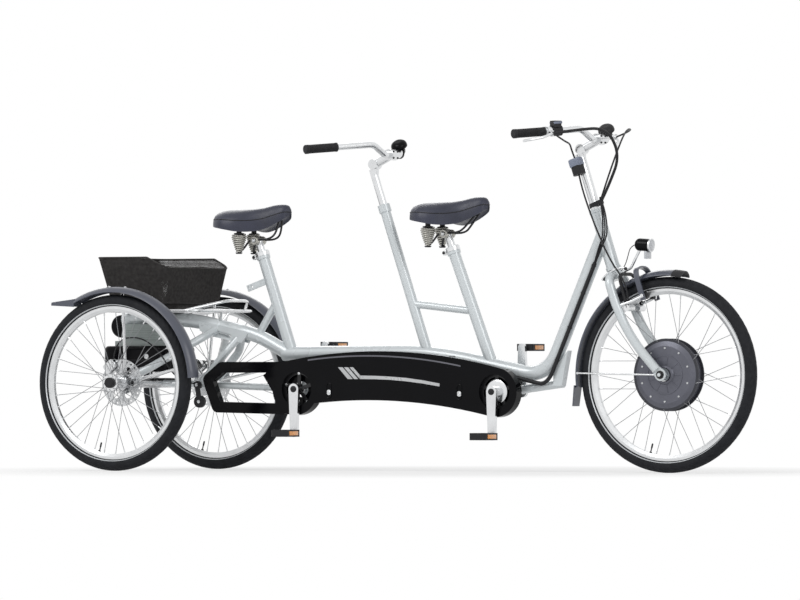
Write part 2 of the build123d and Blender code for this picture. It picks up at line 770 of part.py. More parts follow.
# Chain tensioner: an arm and a guide wheel below the gear hub
with BuildPart() as chain_tensioner:
    guide_at = rear(169, 0, 236)
    hanger_at = rear(GEAR_HUB_AHEAD, 0, GEAR_HUB_Z)
    add(rod(guide_at - Vector(0, 66, 0), guide_at - Vector(0, 54, 0), 42))
    add(rod(hanger_at - Vector(0, 66, 0), hanger_at - Vector(0, STAY_HALF + STAY_D / 4, 0), 26))
    with BuildSketch(side_plane(-66)):
        add(make_link(guide_at, 9, hanger_at, 9))
    extrude(amount=-4)
    for neighbour in (rear_bracket.part, axle_struts.part, gear_hub.part):
        add(neighbour, mode=Mode.SUBTRACT)
save(chain_tensioner.part, "chain_tensioner")

# Carrier: a loop of thin rail on the rear tube, with cross rails and a bowed front hoop
carrier_z = REAR_TUBE_Z + REAR_TUBE_D / 2 + RAIL_D / 2
with BuildPart() as carrier:
    loop = (
        rear(CARRIER_FRONT, -CARRIER_HALF, carrier_z),
        rear(-CARRIER_REAR, -CARRIER_HALF, carrier_z),
        rear(-CARRIER_REAR, CARRIER_HALF, carrier_z),
        rear(CARRIER_FRONT, CARRIER_HALF, carrier_z),
    )
    with BuildLine() as loop_line:
        FilletPolyline(*loop, radius=CARRIER_CORNER_R, close=True)
    with BuildSketch(Plane(rear(0, -CARRIER_HALF, carrier_z), z_dir=(1, 0, 0))):
        Circle(RAIL_D / 2)
    sweep(path=loop_line.wire())
    for ahead in CARRIER_CROSS_RAILS:
        add(rod(rear(ahead, -CARRIER_HALF, carrier_z), rear(ahead, CARRIER_HALF, carrier_z), RAIL_D))
    hoop = (
        rear(CARRIER_FRONT - CARRIER_CORNER_R, -CARRIER_HALF, carrier_z),
        rear(CARRIER_FRONT + HOOP_AHEAD, -CARRIER_HALF / 3, carrier_z + HOOP_UP),
        rear(CARRIER_FRONT + HOOP_AHEAD, CARRIER_HALF / 3, carrier_z + HOOP_UP),
        rear(CARRIER_FRONT - CARRIER_CORNER_R, CARRIER_HALF, carrier_z),
    )
    add(bent_rod(hoop, (HOOP_BEND_R, HOOP_BEND_R), RAIL_D))
    prop_foot = rear(CARRIER_FRONT - PROP_BACK, 0, REAR_TUBE_Z - REAR_TUBE_D / 2)
    for side in (-1, 1):
        add(rod(prop_foot, rear(CARRIER_FRONT, side * PROP_HALF, carrier_z), RAIL_D))
    add(rear_tube.part, mode=Mode.SUBTRACT)
save(carrier.part, "carrier")

# Basket: a tapered open tub whose rim dips towards the front, on a clamp plate
floor_z = carrier_z + RAIL_D / 2 + BASKET_LIFT
rim_z = floor_z + BASKET_TALL


def basket_section(z, back, ahead, half, wall):
    with BuildSketch(Plane.XY.offset(z)) as section:
        with Locations((REAR_AXLE_X + (ahead - back) / 2, 0)):
            RectangleRounded(back + ahead - 2 * wall, 2 * (half - wall), BASKET_CORNER_R - wall)
    return section.sketch


with BuildPart() as basket:
    add(basket_section(floor_z, BASKET_FLOOR_REAR, BASKET_FLOOR_FRONT, BASKET_FLOOR_HALF, 0))
    add(basket_section(rim_z, BASKET_TOP_REAR, BASKET_TOP_FRONT, BASKET_TOP_HALF, 0))
    loft()
    add(basket_section(floor_z + BASKET_WALL, BASKET_FLOOR_REAR, BASKET_FLOOR_FRONT, BASKET_FLOOR_HALF, BASKET_WALL))
    add(basket_section(rim_z + BASKET_WALL, BASKET_TOP_REAR, BASKET_TOP_FRONT, BASKET_TOP_HALF, BASKET_WALL))
    loft(mode=Mode.SUBTRACT)
    with BuildSketch(side_plane(-2 * BASKET_TOP_HALF)):
        with BuildLine():
            Polyline(
                flat(rear(BASKET_TOP_FRONT - BASKET_DIP_LENGTH, 0, rim_z)),
                flat(rear(BASKET_TOP_FRONT + BASKET_WALL, 0, rim_z - BASKET_DIP)),
                flat(rear(BASKET_TOP_FRONT + BASKET_WALL, 0, rim_z + BASKET_WALL)),
                flat(rear(BASKET_TOP_FRONT - BASKET_DIP_LENGTH, 0, rim_z + BASKET_WALL)),
                close=True,
            )
        make_face()
    extrude(amount=-4 * BASKET_TOP_HALF, mode=Mode.SUBTRACT)
    with BuildSketch(Plane.XY.offset(carrier_z + RAIL_D / 2)):
        with Locations(flat(rear(5, 0, 0))):
            RectangleRounded(160, 140, 12)
    extrude(amount=BASKET_LIFT)
save(basket.part, "basket")


# Battery, its cradle and the controller, hung under the rear tube
def block(ahead, length, half, low, high, corner_r):
    """An upright box with rounded corners, by its middle and its length along X."""
    with BuildPart() as made:
        with BuildSketch(Plane(rear(ahead, 0, low))):
            RectangleRounded(length, 2 * half, corner_r)
        extrude(amount=high - low)
    return made.part


controller_low = REAR_TUBE_Z - REAR_TUBE_D / 2 - CONTROLLER_TALL
cradle_low = controller_low - CRADLE_TALL
battery_low = cradle_low - BATTERY_TALL
with BuildPart() as controller_box:
    add(block(-75, 150, 55, controller_low, REAR_TUBE_Z, 10))
    add(rear_tube.part, mode=Mode.SUBTRACT)
    split(bisect_by=Plane.XY.offset(REAR_TUBE_Z - REAR_TUBE_D / 2 + 8), keep=Keep.BOTTOM)
    add(block(-65, 210, 70, cradle_low, controller_low, 6))
save(controller_box.part, "controller_box")
with BuildPart() as battery:
    add(block(-70, 260, 110, battery_low, cradle_low, 36))
    fillet(battery.faces().sort_by(Axis.Z)[0].edges(), 14)
    fillet(battery.faces().sort_by(Axis.Z)[-1].edges(), 14)
save(battery.part, "battery")

# Rear lamp on the end of the rear tube
with BuildPart() as rear_lamp:
    with BuildSketch(side_plane(-28)):
        with BuildLine():
            lamp_top = flat(rear(-REAR_TUBE_END, 0, REAR_TUBE_Z + 16))
            lamp_low = flat(rear(-REAR_TUBE_END, 0, REAR_TUBE_Z - 62))
            ThreePointArc(lamp_top, flat(rear(-REAR_TUBE_END - 40, 0, REAR_TUBE_Z - 18)), lamp_low)
            Line(lamp_low, lamp_top)
        make_face()
    extrude(amount=-56)
    fillet(rear_lamp.edges().filter_by(GeomType.CIRCLE), 8)
save(rear_lamp.part, "rear_lamp")


# Fenders: a crowned strip round part of each wheel
def fender_strip(centre, outer_r, start, end):
    edge_r = outer_r - FENDER_CROWN
    half = FENDER_W / 2
    with BuildPart() as strip:
        with BuildSketch(axle_plane(centre, start)):
            with BuildLine():
                ThreePointArc((edge_r, -half), (outer_r, 0), (edge_r, half))
                Line((edge_r, half), (edge_r, half - FENDER_SHEET))
                ThreePointArc((edge_r, half - FENDER_SHEET), (outer_r - FENDER_SHEET, 0), (edge_r, FENDER_SHEET - half))
                Line((edge_r, FENDER_SHEET - half), (edge_r, -half))
            make_face()
        revolve(axis=Axis(centre, (0, -1, 0)), revolution_arc=end - start)
    return strip.part


def flap(top, bottom, half_top, half_bottom, thick):
    """A thin tongue between two edges across the wheel."""
    along = bottom - top
    plane = Plane(top, x_dir=(0, 1, 0), z_dir=along.cross(Vector(0, 1, 0)))
    with BuildPart() as tongue:
        with BuildSketch(plane):
            with BuildLine():
                Polyline(
                    (-half_top, 0), (half_top, 0), (half_bottom, -along.length), (-half_bottom, -along.length), close=True
                )
            make_face()
        extrude(amount=thick / 2, both=True)
    return tongue.part


rear_fender_r = REAR_TYRE_R + REAR_FENDER_GAP
with BuildPart() as rear_fenders:
    for _, side in SIDES:
        wheel_at = rear(0, side * TRACK / 2, REAR_TYRE_R)
        add(fender_strip(wheel_at, rear_fender_r, 3, 119))
        tail = wheel_at + Vector(-0.46 * rear_fender_r, 0, 0.865 * rear_fender_r)
        add(flap(tail, rear(-246, side * TRACK / 2, 573), 24, 18, 4))
    edge_r = rear_fender_r - FENDER_CROWN + FENDER_SHEET
    for _, side in SIDES:
        edge_y = side * (TRACK / 2 - FENDER_W / 2 + FENDER_SHEET / 2)
        plate_y = side * (housing_half - CARRIER_PLATE_W / 2)
        for angle in (12, 88):
            c = cos(radians(angle))
            s = sin(radians(angle))
            stay_foot = rear(CARRIER_PLATE_R * c, plate_y, REAR_TYRE_R + CARRIER_PLATE_R * s)
            stay_head = rear(edge_r * c, edge_y, REAR_TYRE_R + edge_r * s)
            add(rod(stay_foot, stay_head, REAR_STAY_D))
    for neighbour in (axle_housing.part, axle_struts.part):
        add(neighbour, mode=Mode.SUBTRACT)
save(rear_fenders.part, "rear_fenders")

# Brake calipers, each straddling its disc
with BuildPart() as brake_calipers:
    for _, side in SIDES:
        rotor_y = TRACK / 2 - ROTOR_IN
        inner_y = housing_half - CARRIER_PLATE_W
        outer_y = TRACK / 2 - FLANGE_OUT - FLANGE_W - SPOKE_CLEARANCE + 4
        spot = axle_plane(rear(0, side * inner_y, REAR_TYRE_R), CALIPER_ANGLE)
        base = Plane(spot.origin, x_dir=spot.x_dir, z_dir=(0, side, 0))
        with BuildSketch(base):
            with Locations((ROTOR_R - CALIPER_HEIGHT / 4, 0)):
                RectangleRounded(CALIPER_HEIGHT, CALIPER_LENGTH, 7)
        extrude(amount=outer_y - inner_y)
        with BuildSketch(base.offset(rotor_y - inner_y - CALIPER_GAP)):
            Circle(ROTOR_R + 5)
        extrude(amount=2 * CALIPER_GAP, mode=Mode.SUBTRACT)
        reach = (rear(0, side * (inner_y + 6), REAR_TYRE_R), spot.origin + spot.x_dir * ROTOR_R + Vector(0, side * 6, 0))
        add(rod(*reach, 12))
    for neighbour in (axle_housing.part, axle_struts.part):
        add(neighbour, mode=Mode.SUBTRACT)
save(brake_calipers.part, "brake_calipers")


# Saddles and their mounts
# columns: the saddle's middle ahead of the rear axle, the height of its underside, its seat tube's line
rear_saddle_at = rear(352, 0, 822)
front_saddle_at = front(828, 0, 838)


def make_saddle(at):
    """A plain closed cushion, broad behind and narrow at the nose."""
    # columns: place along the length, width, height, lift of the underside
    stations = (
        (-0.5, 0.62, 0.55, 0.18),
        (-0.28, 1, 0.95, 0.02),
        (0.05, 0.62, 0.8, 0.1),
        (0.5, SADDLE_NOSE_W / SADDLE_W, 0.5, 0.42),
    )
    with BuildPart() as saddle:
        for along, wide, tall, lift in stations:
            middle = at + Vector(along * SADDLE_LENGTH, 0, (lift + tall / 2) * SADDLE_TALL)
            with BuildSketch(Plane(middle, x_dir=(0, 1, 0), z_dir=(1, 0, 0))):
                RectangleRounded(wide * SADDLE_W, tall * SADDLE_TALL, 0.4 * tall * SADDLE_TALL)
        loft()
    return saddle.part


def make_saddle_mount(at, line, saddle, tube):
    """A post in the seat tube, a clamp, two wire rails and a pair of conical springs."""
    foot, head = line
    along = (head - foot).normalized()
    clamp = head + along * ((at.Z - 34 - head.Z) / along.Z)
    with BuildPart() as mount:
        add(rod(head - along * POST_DEPTH, clamp, POST_D))
        add(rod(clamp - Vector(0, 32, 0), clamp + Vector(0, 32, 0), 30))
        for side in (-1, 1):
            spring_at = Vector(clamp.X - 48, side * SPRING_HALF, at.Z - 62)
            wire = (
                Vector(at.X + 0.36 * SADDLE_LENGTH, side * 10, at.Z + 0.5 * SADDLE_TALL),
                Vector(clamp.X + 60, side * 24, clamp.Z + 3),
                Vector(clamp.X - 20, side * 24, clamp.Z + 3),
                spring_at,
            )
            add(bent_rod(wire, (40, 15), RAIL_WIRE_D))
            spring_tall = at.Z + SPRING_BITE - spring_at.Z
            for turn in range(SPRING_TURNS):
                low = turn / SPRING_TURNS
                radius = SPRING_FOOT_R + (SPRING_R - SPRING_FOOT_R) * (turn + 1) / SPRING_TURNS
                with BuildSketch(Plane(spring_at + Vector(0, 0, low * spring_tall))):
                    Circle(radius)
                extrude(amount=0.6 * spring_tall / SPRING_TURNS)
            add(rod(spring_at - Vector(0, 0, 5), spring_at + Vector(0, 0, spring_tall), 2 * SPRING_FOOT_R - 4))
        for neighbour in (saddle, tube):
            add(neighbour, mode=Mode.SUBTRACT)
    return mount.part


for place, at, line, tube in (
    ("rear", rear_saddle_at, rear_seat_line, rear_seat_tube),
    ("front", front_saddle_at, front_seat_line, front_seat_tube),
):
    saddle = make_saddle(at)
    save(saddle, f"{place}_saddle")
    save(make_saddle_mount(at, line, saddle, tube), f"{place}_saddle_mount")


# Stems, handlebars and grips
def stem_clamp(plane):
    """Where a stem holds its bar, from the plane at the top of its post."""
    pivot = plane.origin + plane.z_dir * STEM_PIVOT_UP + plane.x_dir * STEM_PIVOT_AHEAD
    arm = Vector(cos(radians(STEM_RISE)), 0, sin(radians(STEM_RISE))) * STEM_ARM
    return pivot, pivot + arm


def make_stem(plane, post_d, post_length):
    pivot, clamp = stem_clamp(plane)
    wide = Vector(0, STEM_PIVOT_W / 2, 0)
    clamp_wide = Vector(0, STEM_CLAMP_W / 2, 0)
    with BuildPart() as stem:
        add(rod(plane.origin - plane.z_dir * post_length, plane.origin, post_d))
        add(rod(plane.origin - plane.z_dir * STEM_PIVOT_R, pivot, 0.8 * STEM_PIVOT_W))
        add(rod(pivot - wide, pivot + wide, 2 * STEM_PIVOT_R))
        add(rod(pivot, clamp, 0.8 * STEM_PIVOT_W))
        add(rod(clamp - clamp_wide, clamp + clamp_wide, 2 * STEM_CLAMP_R))
        add(rod(clamp - 2 * clamp_wide, clamp + 2 * clamp_wide, BAR_D), mode=Mode.SUBTRACT)
    return stem.part


def bar_points(clamp, side):
    """One half of a bar from its middle out to its end."""
    return (
        clamp,
        clamp + Vector(0, side * BAR_FLAT, 0),
        clamp + Vector(-BAR_KNEE_BACK, side * BAR_KNEE_OUT, BAR_KNEE_UP),
        clamp + Vector(-BAR_END_BACK, side * BAR_END_OUT, BAR_END_UP),
    )


def make_bar(clamp):
    with BuildPart() as bar:
        for side in (-1, 1):
            add(bent_rod(bar_points(clamp, side), BAR_BENDS, BAR_D))
    return bar.part


def grip_line(clamp, side):
    """The grip's inner end, outer end and direction."""
    knee, end = bar_points(clamp, side)[2:]
    along = (end - knee).normalized()
    return end - along * GRIP_LENGTH, end, along


def make_grips(clamp):
    with BuildPart() as grips:
        for side in (-1, 1):
            inner, end, along = grip_line(clamp, side)
            add(rod(inner, end + along * GRIP_CAP, GRIP_D))
        for side in (-1, 1):
            inner, end, along = grip_line(clamp, side)
            add(rod(inner - along, end, BAR_D), mode=Mode.SUBTRACT)
    return grips.part


def make_bell(clamp):
    """A domed bell on a clamp ring, on the left rise of a bar."""
    flat_end, knee = bar_points(clamp, 1)[1:3]
    along = (knee - flat_end).normalized()
    spot = (flat_end + knee) / 2
    up = Vector(0, -along.Z, along.Y)
    ring_half = along * BELL_RING_W / 2
    with BuildPart() as bell:
        with BuildSketch(Plane(spot + up * (BAR_D / 2 + BELL_LIFT), x_dir=(1, 0, 0), z_dir=up)):
            Circle(BELL_R)
        extrude(amount=BELL_TALL)
        fillet(bell.faces().sort_by(Axis(spot, up))[-1].edges(), BELL_TALL * 0.8)
        add(rod(spot - ring_half, spot + ring_half, BAR_D + 2 * BELL_LIFT))
        with BuildSketch(Plane(spot, x_dir=(1, 0, 0), z_dir=up)):
            Rectangle(BELL_RING_W, BELL_RING_W / 2)
        extrude(amount=BAR_D / 2 + 2 * BELL_LIFT)
        add(rod(spot - ring_half, spot + ring_half, BAR_D), mode=Mode.SUBTRACT)
    return bell.part


column_top = head_high + HEADSET_GAP + COLUMN_LENGTH
front_post = Plane(steered(0, 0, column_top), x_dir=steer_ahead, z_dir=steer_up)
rear_post = Plane(mast_head + mast_along * MAST_POST_UP, x_dir=mast_ahead, z_dir=mast_along)
for place, plane, post_d, post_length in (
    ("front", front_post, COLUMN_D, COLUMN_LENGTH),
    ("rear", rear_post, MAST_POST_D, MAST_POST_UP + MAST_POST_DEPTH),
):
    clamp = stem_clamp(plane)[1]
    save(make_stem(plane, post_d, post_length), f"{place}_stem")
    save(make_bar(clamp), f"{place}_handlebar")
    save(make_grips(clamp), f"{place}_grips")
front_clamp = stem_clamp(front_post)[1]
save(make_bell(stem_clamp(rear_post)[1]), "rear_bell")

# Brake levers under the front grips
LEVER_GAP = 6
with BuildPart() as brake_levers:
    for side in (-1, 1):
        inner, end, along = grip_line(front_clamp, side)
        ring_in = inner - along * (LEVER_GAP + 16)
        ring_out = inner - along * LEVER_GAP
        out = Vector(along.Y * side, -along.X * side, 0).normalized()
        down = Vector(0, 0, -1)
        knuckle = ring_in + along * 8 + out * 30 + down * 8
        add(rod(ring_in, ring_out, BAR_D + 12))
        add(rod(ring_in + along * 8, knuckle, 15))
        lever = (
            knuckle,
            knuckle + along * 40 + out * 12 + down * 10,
            knuckle + along * 95 + out * 4 + down * 16,
            knuckle + along * 118 + out * 12 + down * 18,
        )
        add(bent_rod(lever, (50, 40), 9))
        add(rod(ring_in - along, ring_out + along, BAR_D), mode=Mode.SUBTRACT)
save(brake_levers.part, "brake_levers")

# Twist shifter and switch box on the right of the front bar, and the bell on its left
with BuildPart() as bar_controls:
    inner, end, along = grip_line(front_clamp, -1)
    ring_in = inner - along * (LEVER_GAP + 16 + 40)
    ring_out = inner - along * (LEVER_GAP + 18)
    add(rod(ring_in, ring_out, BAR_D + 14))
    with BuildSketch(Plane((ring_in + ring_out) / 2 + Vector(0, 0, BAR_D / 2), x_dir=along, z_dir=(0, 0, 1))):
        RectangleRounded(30, 34, 6)
    extrude(amount=22)
    add(rod(ring_in - along, ring_out + along, BAR_D), mode=Mode.SUBTRACT)
    add(make_bell(front_clamp))
save(bar_controls.part, "bar_controls")

# Column box, strapped to the right of the steering column
with BuildPart() as column_box:
    box_at = steered(-10, -COLUMN_D / 2 - 6, head_high + 128)
    with BuildSketch(Plane(box_at, x_dir=steer_ahead, z_dir=steer_up)):
        RectangleRounded(44, 30, 13)
    extrude(amount=56, both=False)
    fillet(column_box.faces().sort_by(Axis.Z)[-1].edges(), 8)
    add(rod(steered(0, 0, head_high + 20), steered(0, 0, column_top), COLUMN_D), mode=Mode.SUBTRACT)
save(column_box.part, "column_box")

# Fork: steerer, crown collar, two blades that curve in to the crown, dropouts and the axle
blade_top = CROWN_LOW + CROWN_TALL / 2
blade_run = (steered(0, 0, BLADE_KNEE) - steered(FORK_OFFSET, 0, 0)).normalized()
with BuildPart() as fork:
    add(rod(steered(0, 0, CROWN_LOW), steered(0, 0, head_high + HEADSET_GAP), 2 * STEERER_R))
    add(rod(steered(0, 0, CROWN_LOW - HEADSET_GAP), steered(0, 0, CROWN_LOW + CROWN_TALL), HEAD_TUBE_D))
    for _, side in SIDES:
        out = Vector(0, side * FORK_HALF, 0)
        blade_end = front_axle + out + blade_run * DROPOUT_R
        blade = (steered(0, 0, blade_top), steered(0, 0, blade_top) + out, steered(0, 0, BLADE_KNEE) + out, blade_end)
        add(bent_rod(blade, (CROWN_BEND_R, BLADE_BEND_R), BLADE_D))
        inner_face = side_plane(side * FORK_HALF + DROPOUT_W / 2)
        with BuildSketch(inner_face):
            add(make_link(front_axle, DROPOUT_R, blade_end, BLADE_D / 2))
        extrude(amount=DROPOUT_W)
    axle_half = FORK_HALF + DROPOUT_W + AXLE_NUT
    add(rod(front_axle - Vector(0, axle_half, 0), front_axle + Vector(0, axle_half, 0), 2 * FRONT_AXLE_R))
save(fork.part, "fork")

# Front fender with its flap, a tab to the crown and wire stays
front_fender_r = FRONT_TYRE_R + FRONT_FENDER_GAP
with BuildPart() as front_fender:
    add(fender_strip(front_axle, front_fender_r, 80, 187))
    heel = front_axle + Vector(-0.985 * front_fender_r, 0, -0.1 * front_fender_r)
    add(flap(heel, front(352, 0, 222), 26, 22, 4))
    add(rod(steered(0, 0, sqrt(front_fender_r ** 2 - FORK_OFFSET ** 2) - 6), steered(0, 0, CROWN_LOW), 16))
    for _, side in SIDES:
        stay_r = front_fender_r - FENDER_CROWN + FENDER_SHEET
        stay_head = front_axle + Vector(-stay_r, side * (FENDER_W - FENDER_SHEET) / 2, FENDER_STAY_D)
        stay_foot = front_axle + Vector(-DROPOUT_R, side * FORK_HALF, 0)
        add(rod(stay_foot, stay_head, FENDER_STAY_D))
    add(fork.part, mode=Mode.SUBTRACT)
save(front_fender.part, "front_fender")

# Rim brake: a cylinder beside the rim on each blade, tied by an arch over the fender
RIM_BRAKE_UP = 292
with BuildPart() as rim_brake:
    for side in (-1, 1):
        pad_in = steered(34, side * (RIM_W / 2 + 5), RIM_BRAKE_UP - 40)
        pad_out = steered(34, side * (FORK_HALF - 2), RIM_BRAKE_UP - 40)
        add(rod(pad_in, pad_out, 22))
    arch = (
        steered(34, -FORK_HALF + 8, RIM_BRAKE_UP - 40),
        steered(40, -FORK_HALF + 4, front_fender_r + 20),
        steered(40, FORK_HALF - 4, front_fender_r + 20),
        steered(34, FORK_HALF - 8, RIM_BRAKE_UP - 40),
    )
    add(bent_rod(arch, (30, 30), 12))
    add(fork.part, mode=Mode.SUBTRACT)
save(rim_brake.part, "rim_brake")

# Headlamp on a bracket from the crown
LAMP_Z = 762
with BuildPart() as headlamp:
    lamp_back = front(124, 0, LAMP_Z)
    lamp_front = front(66, 0, LAMP_Z - 4)
    add(rod(lamp_back, lamp_front, 42))
    fillet(headlamp.edges().sort_by(Axis.X)[0], 14)
    bracket = (
        steered(CROWN_HALF_DEPTH, 0, CROWN_LOW + CROWN_TALL / 2),
        steered(CROWN_HALF_DEPTH + 40, 0, CROWN_LOW + CROWN_TALL / 2 + 4),
        lamp_back + Vector(25, 0, 0),
    )
    add(bent_rod(bracket, (18,), 10))
    add(fork.part, mode=Mode.SUBTRACT)
    add(rim_brake.part, mode=Mode.SUBTRACT)
save(headlamp.part, "headlamp")
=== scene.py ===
import json
import math

import bmesh
import bpy
from mathutils import Matrix, Vector


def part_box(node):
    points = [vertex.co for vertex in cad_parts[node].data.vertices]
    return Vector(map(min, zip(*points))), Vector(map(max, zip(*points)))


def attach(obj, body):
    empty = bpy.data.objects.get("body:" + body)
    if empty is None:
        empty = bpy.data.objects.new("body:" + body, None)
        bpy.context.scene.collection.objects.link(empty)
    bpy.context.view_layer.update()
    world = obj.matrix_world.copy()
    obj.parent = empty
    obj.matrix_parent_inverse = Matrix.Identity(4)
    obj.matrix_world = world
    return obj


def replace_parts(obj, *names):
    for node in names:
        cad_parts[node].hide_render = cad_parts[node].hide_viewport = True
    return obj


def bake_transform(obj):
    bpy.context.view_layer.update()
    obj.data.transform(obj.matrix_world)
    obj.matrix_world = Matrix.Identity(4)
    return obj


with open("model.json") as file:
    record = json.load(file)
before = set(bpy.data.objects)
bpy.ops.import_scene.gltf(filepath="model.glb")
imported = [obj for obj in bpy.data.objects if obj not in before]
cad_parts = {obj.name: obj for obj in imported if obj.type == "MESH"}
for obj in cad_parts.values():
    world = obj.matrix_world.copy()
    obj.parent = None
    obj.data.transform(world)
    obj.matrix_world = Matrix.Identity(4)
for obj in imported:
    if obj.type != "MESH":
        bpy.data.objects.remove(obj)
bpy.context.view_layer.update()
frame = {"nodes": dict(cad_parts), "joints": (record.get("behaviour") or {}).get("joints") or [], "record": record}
JOINTS = {joint["name"]: Vector(joint["pos_m"]) for joint in frame["joints"]}
FRONT_AXLE = JOINTS["front_wheel_turn"]
REAR_AXLE = JOINTS["right_wheel_turn"]
X, Y, Z = Vector((1, 0, 0)), Vector((0, 1, 0)), Vector((0, 0, 1))
MM = 0.001
SIDES = (("right", -1), ("left", 1))
# Sizes and profiles are in millimetres, points in metres. A turned end of this radius counts as closed
CLOSED = 0.1


def square_to(axis):
    """Two unit vectors square to an axis and to each other."""
    axis = axis.normalized()
    side = axis.cross(Z) if abs(axis.z) < 0.9 else axis.cross(X)
    side.normalize()
    return side, axis.cross(side)


def circle(count, start=0.0):
    """Cosine and sine of even steps round a circle, from a start given in steps."""
    turns = [2 * math.pi * (number + start) / count for number in range(count)]
    return [(math.cos(turn), math.sin(turn)) for turn in turns]


def radial(turn):
    """The direction at an angle round a wheel, from ahead towards up."""
    return X * math.cos(turn) + Z * math.sin(turn)


def radials(count, start=0.0):
    return [X * cos + Z * sin for cos, sin in circle(count, start)]


def by_axle(ahead, left, up):
    """A point by its millimetres ahead of the rear axle, left of the middle plane and above the floor."""
    return Vector((REAR_AXLE.x + ahead * MM, left * MM, up * MM))


class Shape:
    """Points and faces of one piece, gathered from several forms."""

    def __init__(self):
        self.points = []
        self.faces = []

    def add(self, points, faces):
        first = len(self.points)
        self.points.extend(tuple(point) for point in points)
        self.faces.extend(tuple(first + number for number in face) for face in faces)
        return self

    def skin(self, rows, ring=True, loop=False):
        """Faces between rows of points. A ring joins a row's ends; a loop joins the last row to the first."""
        size = len(rows[0])
        faces = []
        for number in range(len(rows) if loop else len(rows) - 1):
            here, there = number * size, (number + 1) % len(rows) * size
            for step in range(size if ring else size - 1):
                after = (step + 1) % size
                faces.append((here + step, here + after, there + after, there + step))
        if not loop:
            last = (len(rows) - 1) * size
            faces += [tuple(range(size)), tuple(range(last, last + size))]
        return self.add([point for row in rows for point in row], faces)

    def lathe(self, profile, centre, axis, segments=48, closed=False):
        """A profile of (radius, distance along the axis) turned round the axis."""
        axis = axis.normalized()
        side, other = square_to(axis)
        rows = []
        for cos, sin in circle(segments):
            out = side * cos + other * sin
            rows.append([centre + (out * radius + axis * along) * MM for radius, along in profile])
        return self.skin(rows, ring=closed, loop=True)

    def tube(self, route, radius, sides=10, closed=False):
        """A round bar through a list of points, with flat ends or closed on itself."""
        count = len(route)
        side = None
        rows = []
        for number, point in enumerate(route):
            before = route[number - 1] if number or closed else point
            after = route[(number + 1) % count] if number + 1 < count or closed else point
            along = (after - before).normalized()
            if side is None:
                side = square_to(along)[0]
            side = (side - along * side.dot(along)).normalized()
            other = along.cross(side)
            rows.append([point + (side * cos + other * sin) * radius * MM for cos, sin in circle(sides)])
        return self.skin(rows, loop=closed)

    def block(self, centre, size, ahead=X, up=Z, bevel=1, segments=2):
        """A box with softened edges, its length along ahead and its height along up."""
        ahead = ahead.normalized()
        left = up.cross(ahead).normalized()
        made = bmesh.new()
        bmesh.ops.create_cube(made, size=1)
        bmesh.ops.scale(made, vec=Vector(size) * MM, verts=made.verts)
        bmesh.ops.bevel(made, geom=made.edges, offset=bevel * MM, segments=segments, affect="EDGES", profile=0.6)
        turn = Matrix((ahead, left, ahead.cross(left))).transposed().to_4x4()
        bmesh.ops.transform(made, matrix=Matrix.Translation(centre) @ turn, verts=made.verts)
        made.verts.index_update()
        self.add([vert.co for vert in made.verts], [[vert.index for vert in face.verts] for face in made.faces])
        made.free()
        return self

    def bolt(self, seat, axis, radius, tall):
        """A cap screw: a rounded head with a hollow drive."""
        profile = ((1, 0), (1, 0.75), (0.85, 1), (0.48, 1), (0.45, 0.4), (0.001, 0.35))
        return self.lathe([(radius * out, tall * up) for out, up in profile], seat, axis, 14)

    def nut(self, seat, axis, radius, tall):
        """A hexagon nut with a domed end."""
        self.lathe(((radius, 0), (radius, tall), (0.8 * radius, 1.2 * tall)), seat, axis, 6)
        dome = ((0.8 * radius, tall), (0.55 * radius, 1.6 * tall), (0.001 * radius, 1.8 * tall))
        return self.lathe(dome, seat, axis, 18)

    def plate(self, corners, face, proud):
        """A thin plate on the right of a cover, from its corners ahead of the rear axle and above the floor."""
        return self.skin([[by_axle(x, left, z) for x, z in corners] for left in (face + 0.5, face - proud)])

    def piece(self, name, body, finish, slot=None, sharp=35):
        """The finished piece, riding on a body, in its finish. The slot argument is not used."""
        mesh = bpy.data.meshes.new(name)
        mesh.from_pydata(self.points, [], self.faces)
        made = bmesh.new()
        made.from_mesh(mesh)
        bmesh.ops.recalc_face_normals(made, faces=made.faces)
        made.to_mesh(mesh)
        made.free()
        mesh.materials.append(FINISHES[finish])
        mesh.polygons.foreach_set("use_smooth", [True] * len(mesh.polygons))
        mesh.set_sharp_from_angle(angle=math.radians(sharp))
        piece = bpy.data.objects.new(name, mesh)
        bpy.context.scene.collection.objects.link(piece)
        if body:
            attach(piece, body)
        return piece


def smooth_line(route, steps=16):
    """Points read from a smooth NURBS line that has the route as its control points."""
    curve = bpy.data.curves.new("route", "CURVE")
    curve.dimensions = "3D"
    line = curve.splines.new("NURBS")
    line.points.add(len(route) - 1)
    for place, point in zip(line.points, route):
        place.co = (*point, 1)
    line.order_u = 3
    line.use_endpoint_u = True
    line.resolution_u = steps
    holder = bpy.data.objects.new("route", curve)
    mesh = bpy.data.meshes.new_from_object(holder)
    points = [vert.co.copy() for vert in mesh.vertices]
    bpy.data.objects.remove(holder)
    bpy.data.curves.remove(curve)
    bpy.data.meshes.remove(mesh)
    return points


def smooth_row(rows, place):
    """A row of a table at a place between its first column's values, on a smooth curve."""
    last = len(rows) - 1
    number = max(index for index in range(last) if rows[index][0] <= place + 1e-9)
    first, second = rows[number], rows[number + 1]
    before, after = rows[max(number - 1, 0)], rows[min(number + 2, last)]
    span = second[0] - first[0]
    share = (place - first[0]) / span
    rise = 3 * share**2 - 2 * share**3
    values = []
    for column in range(1, len(first)):
        slope_in = (second[column] - before[column]) / (second[0] - before[0]) * span
        slope_out = (after[column] - first[column]) / (after[0] - first[0]) * span
        bend = slope_in * (share**3 - 2 * share**2 + share) + slope_out * (share**3 - share**2)
        values.append((1 - rise) * first[column] + rise * second[column] + bend)
    return values


# Finishes by name. A material slot of the record has the finish of the same name
FINISHES = {}
COAT_ROUGH = 0.06
GRAIN_HEIGHT = 0.2 * MM


